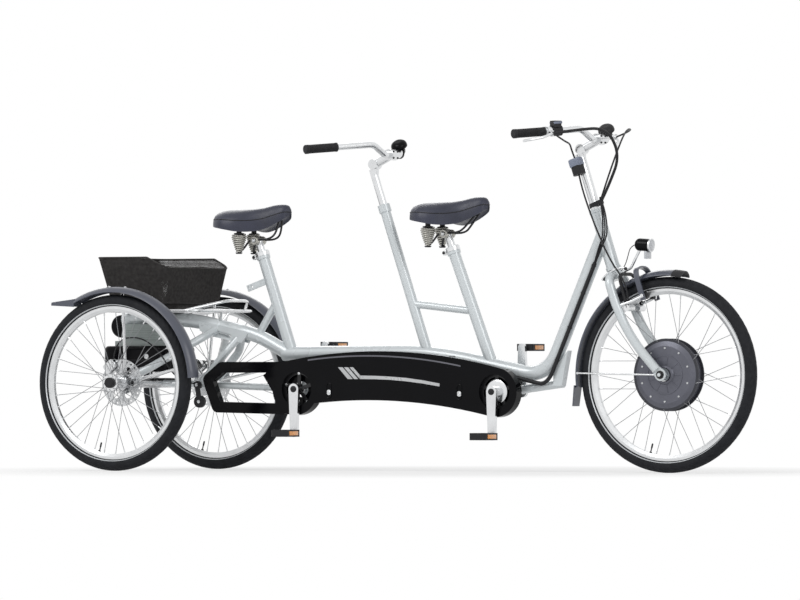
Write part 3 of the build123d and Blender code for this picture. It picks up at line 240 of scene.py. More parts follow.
def new_finish(name):
    material = bpy.data.materials.new(name)
    material.use_nodes = True
    FINISHES[name] = material
    return material.node_tree, material.node_tree.nodes["Principled BSDF"]


def texture(tree, kind, scale):
    """A texture in the piece's own space."""
    place = tree.nodes.new("ShaderNodeTexCoord")
    node = tree.nodes.new(kind)
    node.inputs["Scale"].default_value = scale
    tree.links.new(place.outputs["Object"], node.inputs["Vector"])
    return node


def noise(tree, scale, detail):
    node = texture(tree, "ShaderNodeTexNoise", scale)
    node.inputs["Detail"].default_value = detail
    return node.outputs["Fac"]


def spread(tree, value, from_min, from_max, to_min, to_max):
    """Map a value from one range to another."""
    node = tree.nodes.new("ShaderNodeMapRange")
    for socket, end in (("From Min", from_min), ("From Max", from_max), ("To Min", to_min), ("To Max", to_max)):
        node.inputs[socket].default_value = end
    tree.links.new(value, node.inputs["Value"])
    return node.outputs["Result"]


def ramp(tree, factor, low, high):
    """Spread the middle of a 0 to 1 factor over the values low to high."""
    return spread(tree, factor, 0.3, 0.7, low, high)


def tint(tree, shader, factor, dark, light):
    """Colour a shader between two colours by a factor."""
    mix = tree.nodes.new("ShaderNodeMix")
    mix.data_type = "RGBA"
    mix.inputs["A"].default_value = (*dark, 1)
    mix.inputs["B"].default_value = (*light, 1)
    tree.links.new(ramp(tree, factor, 0.0, 1.0), mix.inputs["Factor"])
    tree.links.new(mix.outputs["Result"], shader.inputs["Base Color"])


def bump(tree, shader, height, strength, distance):
    node = tree.nodes.new("ShaderNodeBump")
    node.inputs["Strength"].default_value = strength
    node.inputs["Distance"].default_value = distance
    tree.links.new(height, node.inputs["Height"])
    tree.links.new(node.outputs["Normal"], shader.inputs["Normal"])


def shaded(colour, share):
    return tuple(min(1.0, channel * share) for channel in colour)


def surface(name, colour, rough, metal, vary, cloud, grain, depth, coat, gleam):
    """A finish with cloudy colour, uneven gloss and a fine grain."""
    tree, shader = new_finish(name)
    tint(tree, shader, noise(tree, cloud, 4.0), shaded(colour, 1 - vary), shaded(colour, 1 + vary))
    tree.links.new(ramp(tree, noise(tree, cloud * 3, 5.0), *rough), shader.inputs["Roughness"])
    shader.inputs["Metallic"].default_value = metal
    shader.inputs["Specular IOR Level"].default_value = gleam
    shader.inputs["Coat Weight"].default_value = coat
    shader.inputs["Coat Roughness"].default_value = COAT_ROUGH
    bump(tree, shader, noise(tree, grain, 2.0), depth, GRAIN_HEIGHT)


def leather_grain(name, colour):
    """Vinyl with a pebbled grain."""
    tree, shader = new_finish(name)
    cells = texture(tree, "ShaderNodeTexVoronoi", 620)
    cells.feature = "SMOOTH_F1"
    tint(tree, shader, noise(tree, 14, 4.0), shaded(colour, 0.8), shaded(colour, 1.3))
    tree.links.new(ramp(tree, noise(tree, 60, 4.0), 0.36, 0.5), shader.inputs["Roughness"])
    bump(tree, shader, cells.outputs["Distance"], 0.35, 0.35 * MM)


def prism(name, colour):
    """A moulded reflector with a pattern of small cells behind clear plastic."""
    tree, shader = new_finish(name)
    cells = texture(tree, "ShaderNodeTexVoronoi", 380)
    cells.distance = "MANHATTAN"
    tint(tree, shader, cells.outputs["Distance"], shaded(colour, 0.55), shaded(colour, 1.2))
    shader.inputs["Roughness"].default_value = 0.12
    shader.inputs["Coat Weight"].default_value = 1.0
    bump(tree, shader, cells.outputs["Distance"], 0.3, 0.4 * MM)


ALLOY = (0.72, 0.73, 0.74)
SOFT_BLACK = (0.014, 0.014, 0.016)
MOTOR = (0.125, 0.128, 0.155)
# columns: finish, linear colour, roughness from and to, metal, variation, scale of the clouds, scale and depth of the
# grain, coat, gleam
for row in (
    ("frame_paint", (0.69, 0.735, 0.755), (0.26, 0.29), 0.12, 0.012, 6, 2600, 0.008, 0.6, 0.5),
    ("tyre_rubber", (0.012, 0.013, 0.016), (0.62, 0.8), 0.0, 0.25, 22, 1600, 0.25, 0.0, 0.25),
    ("reflective_band", (0.62, 0.64, 0.66), (0.3, 0.42), 0.3, 0.06, 30, 2400, 0.1, 0.0, 0.5),
    ("bright_alloy", ALLOY, (0.16, 0.28), 1.0, 0.05, 24, 1500, 0.015, 0.0, 0.5),
    ("rim_alloy", ALLOY, (0.28, 0.42), 0.85, 0.05, 18, 1800, 0.06, 0.0, 0.5),
    ("spoke_steel", (0.6, 0.61, 0.62), (0.2, 0.34), 1.0, 0.1, 60, 2200, 0.05, 0.0, 0.5),
    ("spoke_wire", (0.27, 0.275, 0.285), (0.25, 0.4), 1.0, 0.1, 60, 2200, 0.05, 0.0, 0.5),
    ("cover_black", (0.003, 0.003, 0.004), (0.1, 0.18), 0.0, 0.2, 10, 1400, 0.015, 0.0, 0.1),
    ("black_plastic", SOFT_BLACK, (0.42, 0.58), 0.0, 0.2, 20, 1800, 0.18, 0.0, 0.3),
    ("fender_plastic", (0.072, 0.079, 0.107), (0.3, 0.4), 0.0, 0.07, 9, 1500, 0.04, 0.35, 0.5),
    ("motor_case", MOTOR, (0.34, 0.46), 0.55, 0.07, 20, 2000, 0.12, 0.0, 0.5),
    ("motor_drum", shaded(MOTOR, 0.35), (0.4, 0.55), 0.5, 0.1, 30, 2000, 0.1, 0.0, 0.5),
    ("basket_mesh", (0.054, 0.051, 0.05), (0.68, 0.8), 0.0, 0.25, 90, 2500, 0.1, 0.0, 0.15),
    ("black_steel", SOFT_BLACK, (0.34, 0.46), 0.0, 0.15, 40, 1900, 0.08, 0.0, 0.4),
    ("controller_grey", (0.33, 0.37, 0.36), (0.4, 0.5), 0.3, 0.06, 30, 1500, 0.1, 0.0, 0.5),
    ("grip_rubber", SOFT_BLACK, (0.55, 0.72), 0.0, 0.2, 40, 1500, 0.35, 0.0, 0.3),
    ("spring_coat", (0.5, 0.49, 0.45), (0.3, 0.45), 0.6, 0.12, 70, 1700, 0.08, 0.0, 0.5),
    ("stripe_paint", (0.55, 0.56, 0.57), (0.25, 0.35), 0.4, 0.05, 30, 2600, 0.03, 0.0, 0.5),
    # a lighter grey metal that paints the highlight line along the ridge of the black chain guard
    ("guard_edge", (0.15, 0.15, 0.17), (0.2, 0.3), 0.9, 0.08, 12, 1800, 0.02, 0.0, 0.5),
    ("box_grey", (0.22, 0.25, 0.33), (0.35, 0.5), 0.0, 0.08, 25, 1700, 0.12, 0.0, 0.5),
):
    surface(*row)
leather_grain("saddle_vinyl", (0.024, 0.027, 0.048))
prism("amber_reflector", (0.85, 0.3, 0.02))
prism("red_lens", (0.55, 0.01, 0.012))
prism("white_reflector", (0.52, 0.54, 0.57))


# CAD nodes keep their shape and take these finishes
def finish_node(name, finish, *rules):
    """Give a node its finish, and other finishes to the faces that a rule picks by their middle."""
    mesh = frame["nodes"][name].data
    mesh.materials.clear()
    for used in (finish, *(other for _, other in rules)):
        mesh.materials.append(FINISHES[used])
    for face in mesh.polygons:
        face.material_index = 0
        for number, (picks, _) in enumerate(rules, 1):
            if picks(face.center):
                face.material_index = number
    mesh.polygons.foreach_set("use_smooth", [True] * len(mesh.polygons))
    mesh.set_sharp_from_angle(angle=math.radians(30))


def across(point, centre):
    """A point's millimetres from an axle that runs along Y through the centre."""
    return math.hypot(point.x - centre.x, point.z - centre.z) / MM


def node_box(name):
    low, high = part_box(name)
    return Vector(low), Vector(high)


HUB_CAP_R = 18.5
HUB_CAP_IN = 32.5
ROTOR_AT = 46
ROTOR_HALF = 1.5
MOTOR_DRUM_R = 113
MOTOR_BOSS_R = 22.5


def finish_hub(side_name, side):
    hub_at = JOINTS[f"{side_name}_wheel_turn"]

    def outward(point):
        return side * (point.y - hub_at.y) / MM

    def is_cap(point):
        return outward(point) > HUB_CAP_IN and across(point, hub_at) < HUB_CAP_R

    def is_rotor(point):
        return abs(outward(point) + ROTOR_AT) < ROTOR_HALF

    finish_node(f"{side_name}_hub", "bright_alloy", (is_cap, "black_plastic"), (is_rotor, "spoke_steel"))


for subpart in frame["record"]["subparts"]:
    finish_node(subpart["node"], subpart["material_slot"])
for side_name, side in SIDES:
    finish_hub(side_name, side)
for wheel_name in ("right", "left", "front"):
    finish_node(f"{wheel_name}_rim", "rim_alloy")
    finish_node(f"{wheel_name}_spokes", "spoke_wire")
finish_node(
    "hub_motor",
    "motor_case",
    (lambda point: across(point, FRONT_AXLE) > MOTOR_DRUM_R, "motor_drum"),
    (lambda point: across(point, FRONT_AXLE) < MOTOR_BOSS_R, "bright_alloy"),
)

# Wheels: treaded tyres with a reflective ring, spoke nipples and valves
TYRE_HALF = 23.5
BEAD_DEPTH = 39
BEAD_HALF = 12.5
SHOULDER_ANGLE = 110
SECTION_STEPS = 16
TREAD_SEGMENTS = 360
TREAD_STEPS = 9
TREAD_DEPTH = 1.4
GROOVE_STEP = 3
SIPE_SHARE = 0.6
RING_SHARES = (0.12, 0.3, 0.48)
RING_PROUD = 0.4
RIM_DEPTH = 19
SPOKE_COUNT = 36
NIPPLE_R = 2.1
NIPPLE_LENGTH = 12
NIPPLE_OUT = 3
NIPPLE_STAGGER = 0.8
VALVE_SPOKE = 25.5
VALVE_PROFILE = ((CLOSED, 32), (1.8, 32), (3, 28.8), (3, 16), (2.1, 15.36), (2.1, 3.2), (4.8, 2.56), (4.8, -0.64))
# columns: wheel, radius and half spacing of the spoke heads, lead of the spokes in degrees
WHEELS = (("front", 115, 20, 14), ("right", 23, 30, 60), ("left", 23, 30, 60))


def tread_cut(number, step):
    """How far a point of the tyre's skin is sunk, by its place round the wheel and across the tread."""
    out = abs(step)
    if out > TREAD_STEPS:
        return 0
    if out == GROOVE_STEP:
        return TREAD_DEPTH
    if out > GROOVE_STEP:
        return TREAD_DEPTH if (number + out) % 5 == 0 else 0
    return SIPE_SHARE * TREAD_DEPTH if (number + 2 * step) % 10 == 0 else 0


def make_tyre(side_name, body):
    """A tyre's skin and its reflective rings. Gives the wheel's middle and the rim's inner radius."""
    low, high = node_box(f"{side_name}_tyre")
    centre = (low + high) / 2
    outer_r = (high.z - low.z) / 2 / MM
    section_r = outer_r - TYRE_HALF
    bead_r = outer_r - BEAD_DEPTH
    rows = []
    for number, out in enumerate(radials(TREAD_SEGMENTS)):
        section = [(bead_r, -BEAD_HALF)]
        for step in range(-SECTION_STEPS, SECTION_STEPS + 1):
            angle = math.radians(SHOULDER_ANGLE * step / SECTION_STEPS)
            radius = TYRE_HALF - tread_cut(number, step)
            section.append((section_r + radius * math.cos(angle), radius * math.sin(angle)))
        section.append((bead_r, BEAD_HALF))
        rows.append([centre + (out * radius + Y * left) * MM for radius, left in section])
    tread = Shape().skin(rows, loop=True).piece(f"{side_name}_tyre_tread", body, "tyre_rubber", sharp=28)
    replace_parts(tread, f"{side_name}_tyre")

    edge = math.radians(SHOULDER_ANGLE)
    shoulder = Vector((section_r + TYRE_HALF * math.cos(edge), TYRE_HALF * math.sin(edge)))
    flank = Vector((bead_r, BEAD_HALF)) - shoulder
    proud = Vector((flank.y, -flank.x)).normalized() * RING_PROUD
    profile = [shoulder + flank * share + proud for share in RING_SHARES]
    profile += [shoulder + flank * share - proud for share in reversed(RING_SHARES)]
    rings = Shape()
    for face in (-1, 1):
        rings.lathe([(radius, face * out) for radius, out in profile], centre, Y, 144, closed=True)
    rings.piece(f"{side_name}_tyre_rings", body, "reflective_band", "tyre_rubber")
    return centre, bead_r - RIM_DEPTH


def make_nipples(side_name, body, centre, rim_r, flange_r, flange_out, lacing):
    nipples = Shape()
    for number in range(SPOKE_COUNT):
        side = 1 if number % 2 else -1
        lead = 1 if number // 2 % 2 else -1
        turn = 2 * math.pi * number / SPOKE_COUNT
        hub_turn = turn + lead * math.radians(lacing)
        rim_end = centre + (radial(turn) * rim_r + Y * (side * NIPPLE_OUT + lead * NIPPLE_STAGGER)) * MM
        hub_end = centre + (radial(hub_turn) * flange_r + Y * side * flange_out) * MM
        inward = (hub_end - rim_end).normalized() * MM
        nipples.tube((rim_end - inward, rim_end + inward * NIPPLE_LENGTH), NIPPLE_R, sides=6)
    nipples.piece(f"{side_name}_nipples", body, "bright_alloy", "spoke_steel")
    out = radial(2 * math.pi * VALVE_SPOKE / SPOKE_COUNT)
    valve = Shape().lathe(VALVE_PROFILE, centre + out * rim_r * MM, -out, 12)
    valve.piece(f"{side_name}_valve", body, "black_plastic", "tyre_rubber")


for side_name, *lacing in WHEELS:
    wheel_at, rim_r = make_tyre(side_name, f"{side_name}_wheel")
    make_nipples(side_name, f"{side_name}_wheel", wheel_at, rim_r, *lacing)

# Motor faces: a raised ring, a collar, short ribs and a circle of screws
MOTOR_FACE_OUT = 30
MOTOR_RING = ((62, -1), (62, 1.5), (66, 1.5), (67, -1))
MOTOR_COLLAR = ((22, -1), (24, 5), (30, 4), (34, -1))
MOTOR_RIBS = 9
MOTOR_RIB_R = 47
MOTOR_RIB_SIZE = (30, 3, 3)
MOTOR_SCREWS = 10
MOTOR_SCREW_R = 89
AXLE_NUT_OUT = 64
AXLE_WASHER = ((14, 0), (14, 2), (8, 2.2))
motor_trim, motor_screws, axle_nuts = Shape(), Shape(), Shape()
for outward in (-Y, Y):
    face_at = FRONT_AXLE + outward * MOTOR_FACE_OUT * MM
    motor_trim.lathe(MOTOR_RING, face_at, outward, 72, closed=True)
    motor_trim.lathe(MOTOR_COLLAR, face_at, outward, closed=True)
    for out in radials(MOTOR_RIBS):
        motor_trim.block(face_at + out * MOTOR_RIB_R * MM, MOTOR_RIB_SIZE, ahead=out, up=outward, bevel=0.8)
    for out in radials(MOTOR_SCREWS, 0.5):
        motor_screws.bolt(face_at + (out * MOTOR_SCREW_R - outward * 0.5) * MM, outward, 3.6, 3)
    seat = FRONT_AXLE + outward * AXLE_NUT_OUT * MM
    axle_nuts.nut(seat, outward, 10.5, 5.5).lathe(AXLE_WASHER, seat, outward)
motor_trim.piece("motor_trim", "front_wheel", "motor_case")
motor_screws.piece("motor_screws", "front_wheel", "spoke_steel")
axle_nuts.piece("axle_nuts", "steering", "black_steel")

# Saddles: sculpted shells over foam, with a piped seam
# columns: place from tail to nose, half width as a share, top and skirt above the underside
SADDLE_STATIONS = (
    (0.0, 0.16, 44, 32),
    (0.02, 0.4, 52, 21),
    (0.08, 0.73, 64, 14),
    (0.2, 0.97, 71, 8),
    (0.3, 0.99, 72, 3),
    (0.42, 0.88, 73, -3),
    (0.55, 0.64, 75, -4),
    (0.68, 0.45, 80, 2),
    (0.8, 0.36, 87, 15),
    (0.9, 0.3, 89, 30),
    (0.96, 0.22, 86, 41),
    (1.0, 0.07, 74, 52),
)
SADDLE_DATUM = -1.4
SADDLE_STEPS = 96
SADDLE_SWEEP = 40
SADDLE_SQUARENESS = 2.7
SADDLE_LIP = 6
SADDLE_LIP_SHARE = 0.3
# columns: share of the half width, height above the skirt as a share of the lip
SADDLE_UNDERSIDE = ((0.86, 1), (0.4, 1.6), (-0.4, 1.6), (-0.86, 1))
CHANNEL_DEEP = 4
CHANNEL_HALF = 13
CHANNEL_END = 0.72
SEAM_STEP = 5
PIPING_R = 1.5


def saddle_section(place, half):
    """The points of one section, from its right skirt over the top to its left skirt, then back underneath."""
    wide, top, skirt = smooth_row(SADDLE_STATIONS, place)
    wide *= half
    power = 2 / SADDLE_SQUARENESS
    channel = CHANNEL_DEEP * math.sin(math.pi * place / CHANNEL_END) if place < CHANNEL_END else 0
    points = []
    for step in range(SADDLE_SWEEP + 1):
        turn = math.pi * (step / SADDLE_SWEEP - 0.5)
        y = wide * math.copysign(abs(math.sin(turn)) ** power, turn)
        z = skirt + (top - skirt) * abs(math.cos(turn)) ** power
        points.append((y, z - channel * math.exp(-((y / CHANNEL_HALF) ** 2))))
    lip = min(SADDLE_LIP, SADDLE_LIP_SHARE * (top - skirt))
    return points + [(share * wide, skirt + rise * lip) for share, rise in SADDLE_UNDERSIDE]


def make_saddle(place_name):
    low, high = node_box(f"{place_name}_saddle")
    rows = []
    for number in range(SADDLE_STEPS + 1):
        place = 0.5 - 0.5 * math.cos(math.pi * number / SADDLE_STEPS)
        ahead = low.x + place * (high.x - low.x)
        section = saddle_section(place, high.y / MM)
        rows.append([Vector((ahead, y * MM, low.z + (SADDLE_DATUM + z) * MM)) for y, z in section])
    cover = Shape().skin(rows).piece(f"{place_name}_saddle_cover", "frame", "saddle_vinyl", sharp=60)
    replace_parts(cover, f"{place_name}_saddle")
    seam = [row[SEAM_STEP] for row in rows] + [row[SADDLE_SWEEP - SEAM_STEP] for row in reversed(rows)]
    piping = Shape().tube(seam, PIPING_R, sides=8, closed=True)
    piping.piece(f"{place_name}_saddle_piping", "frame", "black_plastic", "saddle_vinyl")


for place_name in ("front", "rear"):
    make_saddle(place_name)

# Basket: woven wire ruled between a floor outline and a wider rim that dips at the front
BASKET_PITCH = 4.6
BASKET_WIRE_R = 1.4
BASKET_RIM_R = 3
BASKET_FLOOR_RIM_R = 2.1
BASKET_CORNER_R = 34
BASKET_FLOOR_INSET_X = (33, 23)
BASKET_FLOOR_INSET_Y = 36
BASKET_TALL = 158
BASKET_DIP = 36
BASKET_DIP_LENGTH = 75
BASKET_BAR_SHARES = (0.2, 0.8)
BASKET_PLATE = (160, 140)
BASKET_PLATE_AHEAD = 5
CORNER_STEPS = 8


def rounded_outline(low_x, high_x, half, corner_r):
    """Places round a rectangle with round corners: the same number on any size."""
    runs = []
    for number, (x, y) in enumerate(((high_x, half), (low_x, half), (low_x, -half), (high_x, -half))):
        middle = Vector((x - math.copysign(corner_r, x - (low_x + high_x) / 2), y - math.copysign(corner_r, y), 0))
        for step in range(CORNER_STEPS + 1):
            turn = math.pi / 2 * (number + step / CORNER_STEPS)
            runs.append(middle + Vector((math.cos(turn), math.sin(turn), 0)) * corner_r)
    return runs


def even_steps(runs, count):
    """A closed outline resampled at a number of even steps."""
    corners = len(runs)
    lengths = [(runs[(number + 1) % corners] - runs[number]).length for number in range(corners)]
    total = sum(lengths)
    points = []
    number = 0
    done = 0.0
    for step in range(count):
        target = total * step / count
        while done + lengths[number] < target:
            done += lengths[number]
            number += 1
        share = (target - done) / lengths[number]
        points.append(runs[number].lerp(runs[(number + 1) % corners], share))
    return points


def make_basket():
    """The basket's wires, worked out in millimetres."""
    low, high = (corner / MM for corner in node_box("basket"))
    floor_z = high.z - BASKET_TALL
    wall = BASKET_TALL - BASKET_RIM_R
    inside = BASKET_RIM_R - BASKET_WIRE_R
    floor_low, floor_high = low.x + BASKET_FLOOR_INSET_X[0], high.x - BASKET_FLOOR_INSET_X[1]
    floor_long = floor_high - floor_low
    floor_half = high.y - BASKET_FLOOR_INSET_Y
    length = 2 * (high.x - low.x + 2 * high.y) - 8 * BASKET_CORNER_R + 2 * math.pi * BASKET_CORNER_R
    count = round(length / BASKET_PITCH)
    rim_line = rounded_outline(low.x + inside, high.x - inside, high.y - inside, BASKET_CORNER_R)
    tops = even_steps(rim_line, count)
    feet = even_steps(rounded_outline(floor_low, floor_high, floor_half, BASKET_CORNER_R), count)
    dips = [max(0.0, top.x - high.x + BASKET_DIP_LENGTH) / BASKET_DIP_LENGTH for top in tops]
    ends = [wall - BASKET_DIP * dip for dip in dips]

    def wall_point(number, height):
        point = feet[number % count].lerp(tops[number % count], height / wall)
        return Vector((point.x, point.y, floor_z + height)) * MM

    def floor_bar(start, end):
        return [Vector((*place, floor_z)) * MM for place in (start, end)]

    wires = Shape()
    for number, end in enumerate(ends):
        wires.tube((wall_point(number, 0), wall_point(number, end)), BASKET_WIRE_R, sides=5)
    levels = round(wall / BASKET_PITCH)
    for level in range(levels):
        height = wall * level / levels
        runs = [[]]
        for number in range(count + 1):
            if ends[number % count] >= height:
                runs[-1].append(wall_point(number, height))
            else:
                runs.append([])
        for run in runs:
            if len(run) > 1:
                wires.tube(run[::2] + run[-1:], BASKET_WIRE_R, sides=4)
    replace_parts(wires.piece("basket_wires", "frame", "basket_mesh"), "basket")

    floor_wires = Shape()
    side_y = floor_half - BASKET_WIRE_R
    columns = round(floor_long / BASKET_PITCH)
    for number in range(1, columns):
        x = floor_low + floor_long * number / columns
        floor_wires.tube(floor_bar((x, -side_y), (x, side_y)), BASKET_WIRE_R, sides=4)
    rows = round(2 * floor_half / BASKET_PITCH)
    start_x, end_x = floor_low + BASKET_WIRE_R, floor_high - BASKET_WIRE_R
    for number in range(1, rows):
        y = floor_half * (2 * number / rows - 1)
        floor_wires.tube(floor_bar((start_x, y), (end_x, y)), BASKET_WIRE_R, sides=4)
    floor_wires.piece("basket_floor_wires", "frame", "basket_mesh")

    rim = Shape().tube([wall_point(number, end) for number, end in enumerate(ends)], BASKET_RIM_R, 8, closed=True)
    rim.tube([wall_point(number, 0) for number in range(count)], BASKET_FLOOR_RIM_R, 8, closed=True)
    for share in BASKET_BAR_SHARES:
        x = floor_low + share * floor_long
        rim.tube(floor_bar((x, -floor_half), (x, floor_half)), BASKET_FLOOR_RIM_R, 8)
    plate_at = by_axle(BASKET_PLATE_AHEAD, 0, (low.z + floor_z) / 2)
    rim.block(plate_at, (*BASKET_PLATE, floor_z - low.z - BASKET_WIRE_R), bevel=4)
    rim.piece("basket_rim", "frame", "basket_mesh")


make_basket()

# Handlebar grips: ribbed rubber with a collar and a capped end
GRIP_R = 15.5
GRIP_LENGTH = 118
GRIP_CAP = 4
GRIP_RIBS = 22
GRIP_RIBS_FROM = 8 - GRIP_LENGTH
GRIP_RIBS_TO = -10
GROOVE_R = GRIP_R - 2
RIB_R = GRIP_R - 0.6
BAR_R = 11.1
BAR_KNEE = Vector((-15, 100, 33))
BAR_END = Vector((-150, 320, 12))


def bar_clamp(place_name):
    """Where a handlebar is held in its stem."""
    low, high = node_box(f"{place_name}_handlebar")
    return Vector((high.x - BAR_R * MM, 0, low.z + BAR_R * MM))


def grip_line(place_name, side):
    """The outer end of a grip and the direction towards it."""
    flip = Vector((1, side, 1))
    return bar_clamp(place_name) + BAR_END * flip * MM, (BAR_END - BAR_KNEE) * flip


def make_grips(place_name, body):
    pitch = (GRIP_RIBS_TO - GRIP_RIBS_FROM) / GRIP_RIBS
    profile = [(BAR_R, -GRIP_LENGTH), (GRIP_R, -GRIP_LENGTH), (GRIP_R, 5 - GRIP_LENGTH)]
    for rib in range(GRIP_RIBS):
        start = GRIP_RIBS_FROM + pitch * rib
        profile += [(GROOVE_R, start), (RIB_R, start + 0.25 * pitch), (RIB_R, start + 0.7 * pitch)]
    profile += [(GROOVE_R, GRIP_RIBS_TO), (GRIP_R, GRIP_RIBS_TO + 1), (GRIP_R, GRIP_CAP - 2)]
    profile += [(GROOVE_R, GRIP_CAP), (CLOSED, GRIP_CAP)]
    grips = Shape()
    for side in (-1, 1):
        grips.lathe(profile, *grip_line(place_name, side), 36)
    piece = grips.piece(f"{place_name}_grip_rubbers", body, "grip_rubber", sharp=25)
    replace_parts(piece, f"{place_name}_grips")


make_grips("front", "steering")
make_grips("rear", "frame")

# Steering coordinates: ahead of the axis, to the left and up along it, in millimetres
STEER_FOOT = JOINTS["steer"]
STEER_UP = Vector(next(joint["axis"] for joint in frame["joints"] if joint["name"] == "steer"))
STEER_AHEAD = Y.cross(STEER_UP)


def steered(ahead, left, up):
    return STEER_FOOT + (STEER_AHEAD * ahead + Y * left + STEER_UP * up) * MM


# Chain guard: slanted bars, a long stripe, two fixing slots and a ridge along the top, whose lighter grey is a painted
# highlight
GUARD_FACE = -92
GUARD_BARS = (
    ((736, 353), (754, 353), (794, 313), (774, 313)),
    ((759, 353), (775, 353), (815, 313), (799, 313)),
    ((781, 353), (795, 353), (823, 325), (822, 313)),
)
# columns: ahead of the rear axle, lower edge, upper edge
GUARD_STRIPE = (
    (821, 313, 325),
    (880, 312.5, 324),
    (937, 310.5, 321.5),
    (1000, 305.5, 317),
    (1065, 298, 309),
    (1131, 288, 298),
)
STRIPE_PROUD = 0.5
# columns: ahead of the rear axle, height of the slot's middle, height of its bolt
GUARD_SLOTS = ((700, 274, 268), (1207, 269, 263))
SLOT_HALF = 9
SLOT_REACH = 16
SLOT_STEPS = 32
SLOT_WASHER = ((9, 0), (9, 1.2), (5, 1.4))
stripes, slots, slot_bolts = Shape(), Shape(), Shape()
for bar in GUARD_BARS:
    stripes.plate(bar, GUARD_FACE, STRIPE_PROUD)
for (x, low, high), (next_x, next_low, next_high) in zip(GUARD_STRIPE, GUARD_STRIPE[1:]):
    stripes.plate(((x, low), (next_x, next_low), (next_x, next_high), (x, high)), GUARD_FACE, STRIPE_PROUD)
for ahead, middle, bolt_up in GUARD_SLOTS:
    oval = []
    for cos, sin in circle(SLOT_STEPS):
        up = middle + SLOT_HALF * sin + math.copysign(SLOT_REACH, sin)
        oval.append(by_axle(ahead + SLOT_HALF * cos, GUARD_FACE - 0.3, up))
    slots.tube(oval, 2, sides=8, closed=True)
    slot_bolts.lathe(SLOT_WASHER, by_axle(ahead, GUARD_FACE, bolt_up), -Y, 24)
    slot_bolts.bolt(by_axle(ahead, GUARD_FACE - 1, bolt_up), -Y, 5.5, 4)
stripes.piece("guard_stripes", "frame", "stripe_paint", "cover_black")
slots.piece("guard_slots", "frame", "cover_black")
slot_bolts.piece("guard_bolts", "frame", "bright_alloy")

# columns: ahead of the rear axle, lower edge of the ridge
RIDGE_ENDS = ((618, 375), (956.5, 386), (1213, 354))
RIDGE_W = 5
RIDGE_PROUD = 2
RIDGE_STEPS = 40


def ridge_height(x):
    """The lower edge of the ridge, on a curve through its ends and its middle."""
    total = 0.0
    for number, (here, height) in enumerate(RIDGE_ENDS):
        for other, (there, _) in enumerate(RIDGE_ENDS):
            if other != number:
                height *= (x - there) / (here - there)
        total += height
    return total


ridge_start, ridge_end = RIDGE_ENDS[0][0], RIDGE_ENDS[-1][0]
places = [ridge_start + (ridge_end - ridge_start) * step / RIDGE_STEPS for step in range(RIDGE_STEPS + 1)]
low_edge = [(x, ridge_height(x)) for x in places]
high_edge = [(x, z + RIDGE_W) for x, z in reversed(low_edge)]
# The ridge's lighter grey finish is a painted highlight along the top of the black guard
Shape().plate(low_edge + high_edge, GUARD_FACE, RIDGE_PROUD).piece("guard_ridge", "frame", "guard_edge", "cover_black")

# Chain case: raised joints on its upper arm, and the bolts of the guide wheel
CASE_FACE = -84
CASE_JOINTS = (303, 381)
CASE_JOINT_HALF = 2
CASE_JOINT_UP = (336, 371)
GUIDE_FACE = -66
GUIDE_BOLTS = ((169, 236), (160, 294))
case_joints, guide_bolts = Shape(), Shape()
for ahead in CASE_JOINTS:
    behind, before = ahead - CASE_JOINT_HALF, ahead + CASE_JOINT_HALF
    low, high = CASE_JOINT_UP
    case_joints.plate(((behind, low), (before, low), (before, high), (behind, high)), CASE_FACE, 0.8)
for ahead, up in GUIDE_BOLTS:
    guide_bolts.bolt(by_axle(ahead, GUIDE_FACE, up), -Y, 6, 5)
case_joints.piece("case_joints", "frame", "cover_black")
guide_bolts.piece("guide_bolts", "frame", "bright_alloy")

# Cranks: end caps, a dark spider, chain ring bolts on the rear crank and a disc on the front one
ARM_FACE = 113
CRANK_CAP = ((11, 0), (11, 2), (9, 3), (CLOSED, 3.4))
SPIDER_FACES = (-75, -68)
SPIDER_R = 20
RING_FACE = -74
RING_BOLTS = 5
RING_BOLT_R = 54
CRANK_DISC = ((18, -1), (18, 4), (38, 4), (41, 2.5), (41, -1))


def dress_crank(place_name):
    crank_at = JOINTS[f"{place_name}_crank_turn"]

    def is_spider(point):
        """Faces of the crank's ring and the arms that hold it."""
        return SPIDER_FACES[0] < point.y / MM < SPIDER_FACES[1] and across(point, crank_at) > SPIDER_R

    caps = Shape()
    for outward in (-Y, Y):
        caps.lathe(CRANK_CAP, crank_at + outward * ARM_FACE * MM, outward, 24)
    caps.piece(f"{place_name}_crank_caps", f"{place_name}_cranks", "black_plastic")
    finish_node(f"{place_name}_crank", "bright_alloy", (is_spider, "black_steel"))


for place_name in ("front", "rear"):
    dress_crank(place_name)
ring_bolts = Shape()
for out in radials(RING_BOLTS, RING_BOLTS / 4):
    ring_bolts.bolt(JOINTS["rear_crank_turn"] + (out * RING_BOLT_R + Y * RING_FACE) * MM, -Y, 5, 2.5)
ring_bolts.piece("rear_ring_bolts", "rear_cranks", "bright_alloy")
disc = Shape().lathe(CRANK_DISC, JOINTS["front_crank_turn"] + Y * RING_FACE * MM, -Y, 64, closed=True)
disc.piece("front_crank_disc", "front_cranks", "bright_alloy")

# Pedals: a reflector on both ends of each pedal
REFLECTOR_SIZE = (2, 58, 14)
for place_name in ("front", "rear"):
    for side_name, _ in SIDES:
        name = f"{place_name}_{side_name}_pedal"
        low, high = node_box(name)
        middle = (low + high) / 2
        reflectors = Shape()
        for x in (low.x, high.x):
            reflectors.block(Vector((x, middle.y, middle.z)), REFLECTOR_SIZE, bevel=0.6)
        reflectors.piece(f"{name}_reflectors", f"{name}s", "amber_reflector", "black_plastic")

# Saddle mounts: a post, a clamp, wire rails and a pair of tapered coil springs
# columns: place, saddle's middle and underside, head of the seat tube, its lean, all ahead of the middle and up
SADDLE_MOUNTS = (
    ("rear", (-638.5, 822), (-609.5, 749), Vector((-122, 0, 349)).normalized()),
    ("front", (136.5, 838), (137.5, 759), Vector((-151, 0, 387)).normalized()),
)
POST_R = 13.6
POST_DEPTH = 110
CLAMP_DROP = 34
CLAMP_HALF = 32
